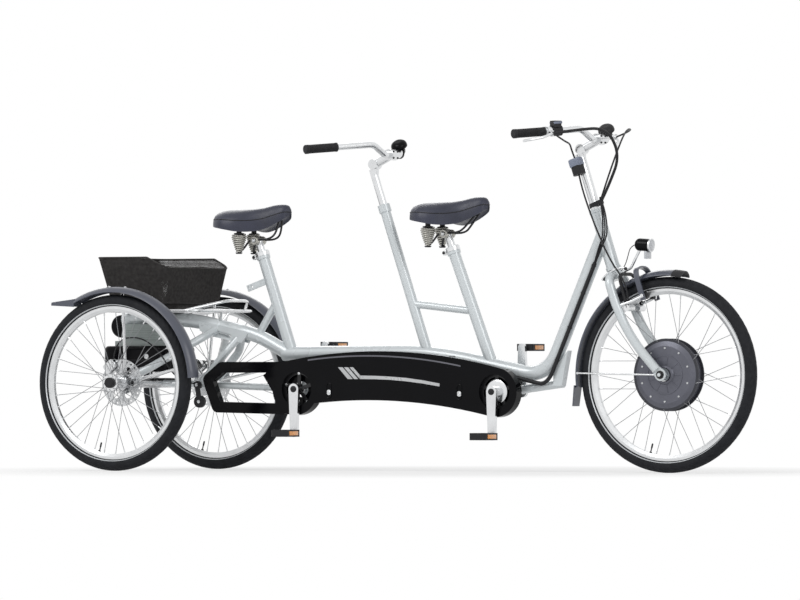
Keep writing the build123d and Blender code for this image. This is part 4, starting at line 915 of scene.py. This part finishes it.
# half of the clamp's barrel, from its right end to its middle
CLAMP_BARREL = ((8, -32), (13, -32), (15, -29), (15, -19), (12.5, -18))
RAIL_R = 3.5
# columns: ahead, outward, up: the rail's nose from the saddle's middle, its bends from the clamp
RAIL_NOSE = (102.6, 10, 35)
RAIL_BENDS = ((82, 16, 26), (56, 24, 3), (0, 24, 2), (-22, 24, 1), (-40, 34, -30))
SPRING_OUT = 50
SPRING_BEHIND = 48
SPRING_DROP = 77
SPRING_TALL = 64
SPRING_LIFT = 4
SPRING_FOOT_R = 6.5
SPRING_HEAD_R = 24
SPRING_SHOULDER = 0.86
SPRING_WIRE_R = 2.9
SPRING_PIN_R = 4
SPRING_TURNS = 9
SPRING_STEPS = 24
SPRING_FOOT = ((CLOSED, -3), (9, -3), (12, 0), (12, 2), (CLOSED, 2))
SPRING_HEAD = ((CLOSED, 0), (18, 0), (18, 4), (9, 6), (9, 26), (CLOSED, 26))


def coil_line(foot, side):
    """A coil that widens to a shoulder and draws in above it."""
    count = SPRING_TURNS * SPRING_STEPS
    route = []
    for step in range(count + 1):
        share = step / count
        turn = 2 * math.pi * step / SPRING_STEPS
        wide = share / SPRING_SHOULDER if share < SPRING_SHOULDER else 1 - 1.6 * (share - SPRING_SHOULDER)
        radius = SPRING_FOOT_R + (SPRING_HEAD_R - SPRING_FOOT_R) * wide**0.75
        around = Vector((math.cos(turn), side * math.sin(turn), 0)) * radius
        route.append(foot + (around + Z * (SPRING_LIFT + (SPRING_TALL - SPRING_LIFT) * share)) * MM)
    return route


for place_name, (at_x, at_z), (head_x, head_z), lean in SADDLE_MOUNTS:
    head = Vector((head_x, 0, head_z)) * MM
    clamp = head + lean * ((at_z - CLAMP_DROP) * MM - head.z) / lean.z
    reach = (clamp - head).length / MM
    post_profile = ((CLOSED, -POST_DEPTH), (POST_R, -POST_DEPTH), (POST_R, reach), (CLOSED, reach))
    post = Shape().lathe(post_profile, head, lean, 40)
    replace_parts(post.piece(f"{place_name}_seat_post", "frame", "bright_alloy"), f"{place_name}_saddle_mount")
    barrel = CLAMP_BARREL + tuple((radius, -along) for radius, along in reversed(CLAMP_BARREL))
    saddle_clamp = Shape().lathe(barrel, clamp, Y, 40, closed=True)
    saddle_clamp.piece(f"{place_name}_saddle_clamp", "frame", "spring_coat", "black_steel")
    clamp_nuts, rails, coils, washers = Shape(), Shape(), Shape(), Shape()
    for side in (-1, 1):
        clamp_nuts.nut(clamp + Y * side * CLAMP_HALF * MM, Y * side, 8, 5)
        foot = Vector((clamp.x - SPRING_BEHIND * MM, side * SPRING_OUT * MM, (at_z - SPRING_DROP) * MM))
        ahead, out, up = RAIL_NOSE
        bends = [clamp + Vector((x, side * y, z)) * MM for x, y, z in RAIL_BENDS]
        rail = smooth_line((Vector((at_x + ahead, side * out, at_z + up)) * MM, *bends, foot))
        rails.tube(rail, RAIL_R, sides=12)
        coils.tube(coil_line(foot, side), SPRING_WIRE_R, sides=8)
        spring_head = foot + Z * SPRING_TALL * MM
        washers.lathe(SPRING_FOOT, foot, Z, 28).lathe(SPRING_HEAD, spring_head, Z, 28)
        washers.tube((foot, spring_head), SPRING_PIN_R)
    clamp_nuts.piece(f"{place_name}_clamp_nuts", "frame", "spoke_steel")
    rails.piece(f"{place_name}_saddle_rails", "frame", "black_steel", sharp=60)
    coils.piece(f"{place_name}_saddle_coils", "frame", "spring_coat", "black_steel", sharp=60)
    washers.piece(f"{place_name}_spring_washers", "frame", "black_steel")

# Seat collars: a band with ears behind and a clamp bolt
COLLAR_BAND = ((23, 0), (25, 1), (25, 15), (23, 16))
COLLAR_DROP = 17
EAR_BEHIND = 30
EAR_UP = 8
EAR_OUT = 5.5
EAR_SIZE = (16, 8, 15)
EAR_BOLT = (2, 9.5)
collars, collar_bolts = Shape(), Shape()
for _, _, (head_x, head_z), lean in SADDLE_MOUNTS:
    back = lean.cross(Y).normalized()
    back = back if back.x < 0 else -back
    seat = (Vector((head_x, 0, head_z)) - lean * COLLAR_DROP) * MM
    ears = seat + (back * EAR_BEHIND + lean * EAR_UP) * MM
    collars.lathe(COLLAR_BAND, seat, lean, closed=True)
    for outward in (-Y, Y):
        collars.block(ears + outward * EAR_OUT * MM, EAR_SIZE, ahead=back, up=lean, bevel=2.5)
        collar_bolts.bolt(ears + (back * EAR_BOLT[0] + outward * EAR_BOLT[1]) * MM, outward, 5, 4)
collars.piece("seat_collars", "frame", "bright_alloy")
collar_bolts.piece("seat_collar_bolts", "frame", "black_steel")

# Fenders: rolled edges, a rubber tip in front, fixing screws, and skirted flaps behind
FENDER_HALF = 31
FENDER_CROWN = 18
FENDER_WALL = 2.5
FENDER_BEAD_R = 1.6
FRONT_FENDER_R = 349.5
REAR_FENDER_R = 328
FRONT_FENDER_ARC = (80, 187)
REAR_FENDER_ARC = (3, 119)
TIP_ARC = (79.5, 86)
TIP_PROUD = 1.5
TIP_COLUMNS = 12
RIVET = ((5, -1), (5, 1), (3, 3), (CLOSED, 3.6))
RIVET_ANGLES = (83, 94)
STAY_SCREW_ANGLES = (14, 86)
STAY_REACH = 300


def arc(start, end, steps):
    """Directions from one angle round a wheel to another, in degrees."""
    return [radial(math.radians(start + (end - start) * step / steps)) for step in range(steps + 1)]


def fender_edges(shape, centre, outer_r, angles):
    """Beads along both edges of a fender, by its radius and its arc."""
    for side in (-1, 1):
        edge = Y * side * (FENDER_HALF - 1)
        route = [centre + (out * (outer_r - FENDER_CROWN) + edge) * MM for out in arc(*angles, 60)]
        shape.tube(route, FENDER_BEAD_R, sides=8)


def fender_tip(centre, outer_r):
    """A crowned sleeve round the end of a fender."""
    section = []
    for column in range(TIP_COLUMNS + 1):
        place = 2 * column / TIP_COLUMNS - 1
        section.append((outer_r + TIP_PROUD - FENDER_CROWN * place**2, place * (FENDER_HALF + TIP_PROUD)))
    section += [(radius - 2 * TIP_PROUD - FENDER_WALL, y) for radius, y in reversed(section)]
    return Shape().skin([[centre + (out * radius + Y * y) * MM for radius, y in section] for out in arc(*TIP_ARC, 8)])


front_edges, front_screws, rear_edges, rear_screws = Shape(), Shape(), Shape(), Shape()
fender_edges(front_edges, FRONT_AXLE, FRONT_FENDER_R, FRONT_FENDER_ARC)
for side in (-1, 1):
    seat = Vector((FENDER_CROWN + 4 - FRONT_FENDER_R, side * (FENDER_HALF + 1), 6))
    front_screws.bolt(FRONT_AXLE + seat * MM, Y * side, 4.5, 3.5)
for side_name, side in SIDES:
    wheel_at = JOINTS[f"{side_name}_wheel_turn"]
    fender_edges(rear_edges, wheel_at, REAR_FENDER_R, REAR_FENDER_ARC)
    for out in (radial(math.radians(angle)) for angle in RIVET_ANGLES):
        rear_screws.lathe(RIVET, wheel_at + out * REAR_FENDER_R * MM, out, 18)
    for out in (radial(math.radians(angle)) for angle in STAY_SCREW_ANGLES):
        seat = out * (REAR_FENDER_R - 12) - Y * side * (FENDER_HALF - 2)
        rear_screws.bolt(wheel_at + seat * MM, -Y * side, 4.5, 4)
front_edges.piece("front_fender_edges", "steering", "fender_plastic")
tip = fender_tip(FRONT_AXLE, FRONT_FENDER_R)
tip.piece("front_fender_tip", "steering", "black_plastic", "fender_plastic")
front_screws.piece("front_fender_screws", "steering", "spoke_steel")
rear_edges.piece("rear_fender_edges", "frame", "fender_plastic")
rear_screws.piece("rear_fender_screws", "frame", "spoke_steel")
finish_node("rear_fenders", "fender_plastic", (lambda point: across(point, REAR_AXLE) < STAY_REACH, "bright_alloy"))
finish_node("front_fender", "fender_plastic", (lambda point: across(point, FRONT_AXLE) < STAY_REACH, "bright_alloy"))

FLAP_STEPS = 10
# columns: ahead of the rear axle, above the floor, half width, depth of the skirts. The tail's outer face is drawn
# from right to left, its inner face back again
FLAP_ROOT = (-151, 585, 25, 25)
FLAP_TAIL = (-246, 574, 19, 9)
flaps = Shape()
for _, side in SIDES:
    middle = side * abs(REAR_AXLE.y) / MM
    rows = []
    for step in range(FLAP_STEPS + 1):
        ahead, up, half, deep = (a + (b - a) * step / FLAP_STEPS for a, b in zip(FLAP_ROOT, FLAP_TAIL))
        section = []
        for edge in (
            ((-half, -deep), (-half, -4), (6 - half, 2), (0, 4)),
            ((half - 2, -deep), (half - 2, -5), (half - 7, -1), (0, 1)),
        ):
            section += [*edge, *((-left, lift) for left, lift in edge[2::-1])]
        rows.append([by_axle(ahead, middle + left, up + lift) for left, lift in section])
    flaps.skin(rows)
flaps.piece("rear_flaps", "frame", "fender_plastic")

# Rim brake: pads, a stiffening plate over the tyre, arms and shoes
BRAKE_PAD_UP = 266
BOOSTER_AHEAD = 98
# half of the booster's arch: to the left of the middle, up along the steering axis
BOOSTER_ARCH = ((51, 258), (51, 300), (50, 345), (36, 370), (0, 374))
BOOSTER_SIZE = (18, 6)
BRAKE_ARM = ((8, 57, 268), (60, 52, 268), (104, 51, 272))
BRAKE_SHOE = ((CLOSED, -1), (11, -1), (12, 2), (12, 20), (8, 22), (8, 34), (CLOSED, 34))
SHOE_OUT = 17
SHOE_BOLT_OUT = 53
SHOE_UP = 274


def is_brake_pad(point):
    return (point - STEER_FOOT).dot(STEER_UP) / MM < BRAKE_PAD_UP


finish_node("rim_brake", "black_plastic", (is_brake_pad, "bright_alloy"))
arch = BOOSTER_ARCH + tuple((-left, up) for left, up in BOOSTER_ARCH[-2::-1])
arch_line = smooth_line([steered(BOOSTER_AHEAD, left, up) for left, up in arch])
wide = STEER_AHEAD * BOOSTER_SIZE[0] * MM / 2
rows = []
for number, point in enumerate(arch_line):
    before, after = arch_line[max(number - 1, 0)], arch_line[min(number + 1, len(arch_line) - 1)]
    thick = (after - before).normalized().cross(STEER_AHEAD) * BOOSTER_SIZE[1] * MM / 2
    rows.append([point - wide - thick, point + wide - thick, point + wide + thick, point - wide + thick])
Shape().skin(rows).piece("brake_booster", "steering", "fender_plastic")
brake_arms, brake_shoes = Shape(), Shape()
for side in (-1, 1):
    brake_arms.tube([steered(ahead, side * out, up) for ahead, out, up in BRAKE_ARM], 6, sides=14)
    brake_arms.bolt(steered(BOOSTER_AHEAD, side * SHOE_BOLT_OUT, SHOE_UP), Y * side, 6, 4)
    brake_shoes.lathe(BRAKE_SHOE, steered(BOOSTER_AHEAD, side * SHOE_OUT, SHOE_UP), Y * side, 28)
brake_arms.piece("brake_arms", "steering", "bright_alloy")
brake_shoes.piece("brake_shoes", "steering", "black_plastic")

# Headlamp and crown
LAMP_BACK = Vector((840.5, 0, 762)) * MM
LAMP_FRONT = Vector((898.5, 0, 758)) * MM
LAMP_AXIS = (LAMP_FRONT - LAMP_BACK).normalized()
LAMP_BELOW = 22.5
LAMP_GLASS = ((20, -3), (20.5, 0.5), (16, 2.6), (9, 3.8), (CLOSED, 4.2))
LAMP_RING = ((20, -4), (22.6, -4), (22.6, 1), (20, 1.5))
LAMP_REFLECTOR_AT = Vector((-14, 0, -32))
LAMP_REFLECTOR_SIZE = (8, 40, 26)
CROWN_BRACKET = ((-35, -37, 374), (-12, -40, 386), (20, -40, 391), (45, -39, 389), (64, -36, 382))


def is_lamp_rod(point):
    return point.x < LAMP_BACK.x - MM or point.z < LAMP_FRONT.z - LAMP_BELOW * MM


finish_node("headlamp", "cover_black", (is_lamp_rod, "bright_alloy"))
lamp_reflector = Shape().block(LAMP_FRONT + LAMP_REFLECTOR_AT * MM, LAMP_REFLECTOR_SIZE, bevel=2)
lamp_reflector.piece("lamp_reflector", "steering", "white_reflector", "cover_black")
lamp_glass = Shape().lathe(LAMP_GLASS, LAMP_FRONT, LAMP_AXIS, 40)
lamp_glass.piece("lamp_glass", "steering", "white_reflector", "cover_black", sharp=50)
Shape().lathe(LAMP_RING, LAMP_FRONT, LAMP_AXIS, 40, closed=True).piece("lamp_ring", "steering", "bright_alloy")
crown_bracket = Shape().tube([steered(*point) for point in CROWN_BRACKET], 3.6)
crown_bracket.piece("crown_bracket", "steering", "bright_alloy", sharp=60)
crown_bolts = Shape().bolt(steered(-22, -40, 372), -Y, 6, 5).nut(steered(62, -37, 381), -Y, 6, 4)
crown_bolts.piece("crown_bolts", "steering", "black_steel")

# Bar controls and stems
BOX_CAP_SIZE = (46, 32, 31)
SWITCH_AT = (636, -183)
SWITCH_DROP = 6.5
SWITCH_SIZE = (31, 35, 9)
LEVER_KNUCKLE = (37.3, 223.5, 862)
LEVER_HALF = 6
STEM_BOLT_R = 18.5
STEM_BOLT_OUT = 14
STEM_BOLT_ANGLE = 34
box_cap = Shape().block(steered(-10, -23, 781), BOX_CAP_SIZE, STEER_AHEAD, STEER_UP, bevel=9, segments=4)
box_cap.piece("column_box_cap", "steering", "box_grey", "black_plastic", sharp=60)
switch_at = Vector((*SWITCH_AT, node_box("bar_controls")[1].z / MM - SWITCH_DROP)) * MM
switch_cap = Shape().block(switch_at, SWITCH_SIZE, ahead=grip_line("front", -1)[1], bevel=3)
switch_cap.piece("switch_cap", "steering", "box_grey", "black_plastic", sharp=60)
lever_bolts = Shape()
for side in (-1, 1):
    ahead, out, up = LEVER_KNUCKLE
    knuckle = steered(ahead, side * out, up)
    lever_bolts.bolt(knuckle + Z * LEVER_HALF * MM, Z, 5, 4).bolt(knuckle - Z * LEVER_HALF * MM, -Z, 5, 3)
lever_bolts.piece("lever_bolts", "steering", "spoke_steel")
for place_name, body in (("front", "steering"), ("rear", "frame")):
    stem_bolts = Shape()
    for left in (-STEM_BOLT_OUT, STEM_BOLT_OUT):
        for out in arc(-STEM_BOLT_ANGLE, STEM_BOLT_ANGLE, 1):
            stem_bolts.bolt(bar_clamp(place_name) + (out * STEM_BOLT_R + Y * left) * MM, out, 3.6, 3)
    stem_bolts.piece(f"{place_name}_stem_bolts", body, "black_steel")

# Battery, controller and rear lamp
BATTERY_CORNER_R = 36
BATTERY_SEAMS = (0.42, 0.46)
BATTERY_SEAM_R = 0.9
PORT_AT = Vector((-40, 0, -12))
PORT_SIZE = (36, 5, 20)
LOCK_AT = Vector((55, 0, 8))
LOCK_PROFILE = ((9, -1), (9, 2.5), (7, 3), (2, 3), (1.6, 1), (CLOSED, 1))
FIN_SIZE = (132, 5, 3)
FIN_LEVELS = (452, 460, 468, 476, 484)
FIN_PLACE = (-75, 55)
low, high = node_box("battery")
battery_face = Vector(((low.x + high.x) / 2, low.y, (low.z + high.z) / 2))
outline = rounded_outline(low.x, high.x, high.y, BATTERY_CORNER_R * MM)
battery_trim = Shape().block(battery_face + PORT_AT * MM, PORT_SIZE, bevel=2)
for share in BATTERY_SEAMS:
    level = low.z + share * (high.z - low.z)
    battery_trim.tube([point + Z * level for point in outline], BATTERY_SEAM_R, sides=6, closed=True)
battery_trim.piece("battery_trim", "frame", "black_plastic", "cover_black")
battery_lock = Shape().lathe(LOCK_PROFILE, battery_face + LOCK_AT * MM, -Y, 28)
battery_lock.piece("battery_lock", "frame", "spoke_steel")
fins = Shape()
for side in (-1, 1):
    for level in FIN_LEVELS:
        fins.block(by_axle(FIN_PLACE[0], side * FIN_PLACE[1], level), FIN_SIZE, bevel=0.8)
fins.piece("controller_fins", "frame", "controller_grey")
REAR_LAMP_BOX = node_box("rear_lamp")
RED_DEEP = 30
RED_HALF = 24
RED_INSETS = (10, 14)


def is_red(point):
    low, high = REAR_LAMP_BOX
    deep = high.x - point.x > RED_DEEP * MM and abs(point.y) < RED_HALF * MM
    return deep and low.z + RED_INSETS[0] * MM < point.z < high.z - RED_INSETS[1] * MM


finish_node("rear_lamp", "cover_black", (is_red, "red_lens"))

# Cables between the steering and the frame; ties hold the loom on the down tube
# columns: place, ahead of the steering axis, to the left, up along it
CABLE_BRIDGE = (
    (0, 38, -20, 642),
    (0.25, 38, -34, 574),
    (0.5, 24, -41, 514),
    (0.75, -10, -37, 476),
    (1, -56, -22, 432),
)
CABLE_STRANDS = ((0, 0), (9, -1), (-6, -4))
CABLE_R = 2.6
BRIDGE_STEPS = 48
bridge = Shape()
for ahead_of, left_of in CABLE_STRANDS:
    route = []
    for share in (step / BRIDGE_STEPS for step in range(BRIDGE_STEPS + 1)):
        ahead, left, up = smooth_row(CABLE_BRIDGE, share)
        loose = 0.2 + 0.8 * math.sin(math.pi * share)
        route.append(steered(ahead + loose * ahead_of, left + loose * left_of, up))
    bridge.tube(route, CABLE_R, sides=8)
bridge_piece = bridge.piece("cable_bridge", None, "black_plastic", sharp=60)
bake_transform(bridge_piece)
DOWN_TUBE_HEAD = Vector((717.9, 0, 795.5))
DOWN_TUBE_ALONG = Vector((212.4, 0, 478.5)).normalized()
LOOM_OFFSET = DOWN_TUBE_ALONG.cross(Y) * -20.2 - Y * 24
TIE_DROPS = (105, 205, 330, 450)
TIE_PROFILE = ((6.5, -2), (8.4, -2), (8.4, 2), (6.5, 2))
ties = Shape()
for drop in TIE_DROPS:
    tie_at = (DOWN_TUBE_HEAD - DOWN_TUBE_ALONG * drop + LOOM_OFFSET) * MM
    ties.lathe(TIE_PROFILE, tie_at, DOWN_TUBE_ALONG, 20, closed=True)
ties.piece("cable_ties", "frame", "black_plastic")

# Cables on the bars, on the fork and at the right rear brake
# columns: name, body, diameter, coordinates of the control points, control points
CORDS = (
    (
        "bar_loom", "steering", 10, steered,
        ((37, -223, 862), (110, -196, 850), (184, -120, 834), (176, -66, 742), (96, -42, 668), (36, -18, 628)),
    ),
    (
        "bar_hose", "steering", 6, steered,
        ((37, 223, 862), (104, 230, 864), (150, 90, 850), (142, -25, 758), (70, -24, 672), (28, -12, 628)),
    ),
    (
        "shifter_lead", "steering", 6, steered,
        ((27, -183, 861), (24, -130, 842), (6, -60, 842), (-10, -30, 826), (-10, -24, 792)),
    ),
    (
        "brake_hose", "steering", 6, steered,
        ((-10, -28, 741), (-6, -46, 690), (4, -54, 562), (24, -58, 425), (58, -66, 340), (52, -60, 280),
         (36, -50, 254)),
    ),
    (
        "lamp_wire", "steering", 3, steered,
        ((112, 6, 452), (82, 8, 458), (56, 8, 420), (38, 8, 398), (18, 8, 386)),
    ),
    (
        "right_rear_hose", "frame", 5, by_axle,
        ((-42, -284, 366), (-42, -278, 446), (46, -250, 461), (112, -228, 405), (130, -190, 340), (140, -120, 302),
         (150, -50, 297)),
    ),
)
for cord_name, body, diameter, coordinates, route in CORDS:
    line = smooth_line([coordinates(*point) for point in route])
    Shape().tube(line, diameter / 2).piece(cord_name, body, "black_plastic", sharp=60)

# The cables' strap on the column: a band round two round ends
STRAP_LOW = 620
STRAP_TALL = 14
STRAP_WALL = 2
STRAP_STEPS = 24
# columns: middle of a round end ahead and to the left of the steering axis, its radius
STRAP_ENDS = ((0, 0, 19), (34, -17, 9))
apart = Vector(STRAP_ENDS[1][:2])
facing = math.atan2(apart.y, apart.x)
lean_in = math.acos((STRAP_ENDS[0][2] - STRAP_ENDS[1][2]) / apart.length)
rows = []
for (ahead, left, radius), start, end in zip(STRAP_ENDS, (lean_in, -lean_in), (2 * math.pi - lean_in, lean_in)):
    for step in range(STRAP_STEPS + 1):
        turn = facing + start + (end - start) * step / STRAP_STEPS
        row = []
        for inward, up in ((STRAP_WALL, 0), (0, 0), (0, STRAP_TALL), (STRAP_WALL, STRAP_TALL)):
            out = radius - inward
            row.append(steered(ahead + out * math.cos(turn), left + out * math.sin(turn), STRAP_LOW + up))
        rows.append(row)
Shape().skin(rows, loop=True).piece("cable_strap", "steering", "black_plastic")

# Loom along the underside of the down tube, as control points in millimetres
LOOM_R = 7
LOOM_ROUTE = ((697.9, -24, 700.5), (560, -24, 390), (517, -24, 293), (455, -24, 304), (398, -24, 318))
loom = Shape().tube(smooth_line([Vector(point) * MM for point in LOOM_ROUTE]), LOOM_R, sides=12)
loom.piece("frame_loom", "frame", "black_plastic", sharp=60)

# Camera, fitted to the wheels' outlines in the photograph: pixels, degrees and metres
IMAGE_WIDTH = 800
FOCAL_PIXELS = 7658
SENSOR = 36.0
CAMERA_YAW = 29.54
CAMERA_PITCH = 0.69
CAMERA_DISTANCE = 25.96
CAMERA_TARGET = Vector((-0.0155, 0, 0.600))
CAMERA_CLIP = 200
AIM_RIGHT_PIXELS = -12.7
AIM_DOWN_PIXELS = 5.6
yaw, pitch = math.radians(CAMERA_YAW), math.radians(CAMERA_PITCH)
look = Vector((-math.sin(yaw) * math.cos(pitch), math.cos(yaw) * math.cos(pitch), math.sin(pitch)))
right = Vector((math.cos(yaw), math.sin(yaw), 0))
above = right.cross(look)
aim = look + right * AIM_RIGHT_PIXELS / FOCAL_PIXELS - above * AIM_DOWN_PIXELS / FOCAL_PIXELS


def aimed(name, data, place, direction):
    """Put a camera or a lamp in the scene, facing a direction."""
    holder = bpy.data.objects.new(name, data)
    holder.location = place
    holder.rotation_mode = "QUATERNION"
    holder.rotation_quaternion = direction.to_track_quat("-Z", "Y")
    bpy.context.scene.collection.objects.link(holder)
    return holder


camera_data = bpy.data.cameras.new("camera")
camera_data.sensor_width = SENSOR
camera_data.lens = SENSOR * FOCAL_PIXELS / IMAGE_WIDTH
camera_data.clip_end = CAMERA_CLIP
bpy.context.scene.camera = aimed("camera", camera_data, CAMERA_TARGET - look * CAMERA_DISTANCE, aim)

# Light: three square lamps that face the middle of the object, and a white world
# columns: name, place, power in watts
LIGHTS = (("key", (-1.5, -4.5, 4.5), 120), ("front", (5.5, -2.5, 3.0), 70), ("back", (-3.5, 4.5, 3.5), 60))
LIGHT_WIDTH = 3.0
WORLD_FILL = 0.4
for name, place, watts in LIGHTS:
    lamp_data = bpy.data.lights.new(name, "AREA")
    lamp_data.size = LIGHT_WIDTH
    lamp_data.energy = watts
    aimed(name, lamp_data, place, CAMERA_TARGET - Vector(place))


def calculated(tree, operation, first, second):
    node = tree.nodes.new("ShaderNodeMath")
    node.operation = operation
    tree.links.new(first, node.inputs[0])
    tree.links.new(second, node.inputs[1])
    return node.outputs[0]


def seen_directly(tree):
    """1 for rays from the camera, from a glossy surface or through glass."""
    rays = tree.nodes.new("ShaderNodeLightPath").outputs
    either = calculated(tree, "MAXIMUM", rays["Is Camera Ray"], rays["Is Glossy Ray"])
    return calculated(tree, "MAXIMUM", either, rays["Is Transmission Ray"])


world = bpy.data.worlds.new("studio")
bpy.context.scene.world = world
world.use_nodes = True
tree = world.node_tree
backdrop = tree.nodes["Background"]
backdrop.inputs["Color"].default_value = (1, 1, 1, 1)
tree.links.new(spread(tree, seen_directly(tree), 0.0, 1.0, WORLD_FILL, 1.0), backdrop.inputs["Strength"])

FLOOR_HALF = 60
FLOOR_CLEAR_FROM = 1.1
FLOOR_CLEAR_TO = 2.0
FLOOR_LIFT = 0.55
FLOOR_SHADES = ((0.93, 0.93, 0.93), (0.95, 0.95, 0.95))
FLOOR_ROUGH = 0.9


def make_floor():
    """A pale floor that keeps the shadow and runs out into white away from the object."""
    mesh = bpy.data.meshes.new("floor")
    corners = [Vector((x, y, 0)) * FLOOR_HALF for x, y in ((-1, -1), (1, -1), (1, 1), (-1, 1))]
    mesh.from_pydata(corners, [], [(0, 1, 2, 3)])
    tree, shader = new_finish("floor_white")
    tint(tree, shader, noise(tree, 3, 5.0), *FLOOR_SHADES)
    shader.inputs["Roughness"].default_value = FLOOR_ROUGH
    place = tree.nodes.new("ShaderNodeTexCoord")
    length = tree.nodes.new("ShaderNodeVectorMath")
    length.operation = "LENGTH"
    tree.links.new(place.outputs["Object"], length.inputs[0])
    fade = spread(tree, length.outputs["Value"], FLOOR_CLEAR_FROM, FLOOR_CLEAR_TO, FLOOR_LIFT, 1.0)
    white = tree.nodes.new("ShaderNodeEmission")
    mix = tree.nodes.new("ShaderNodeMixShader")
    tree.links.new(calculated(tree, "MULTIPLY", fade, seen_directly(tree)), mix.inputs["Fac"])
    tree.links.new(shader.outputs["BSDF"], mix.inputs[1])
    tree.links.new(white.outputs["Emission"], mix.inputs[2])
    tree.links.new(mix.outputs["Shader"], tree.nodes["Material Output"].inputs["Surface"])
    mesh.materials.append(FINISHES["floor_white"])
    floor = bpy.data.objects.new("floor", mesh)
    bpy.context.scene.collection.objects.link(floor)


make_floor()
bpy.context.scene.view_settings.view_transform = "Standard"
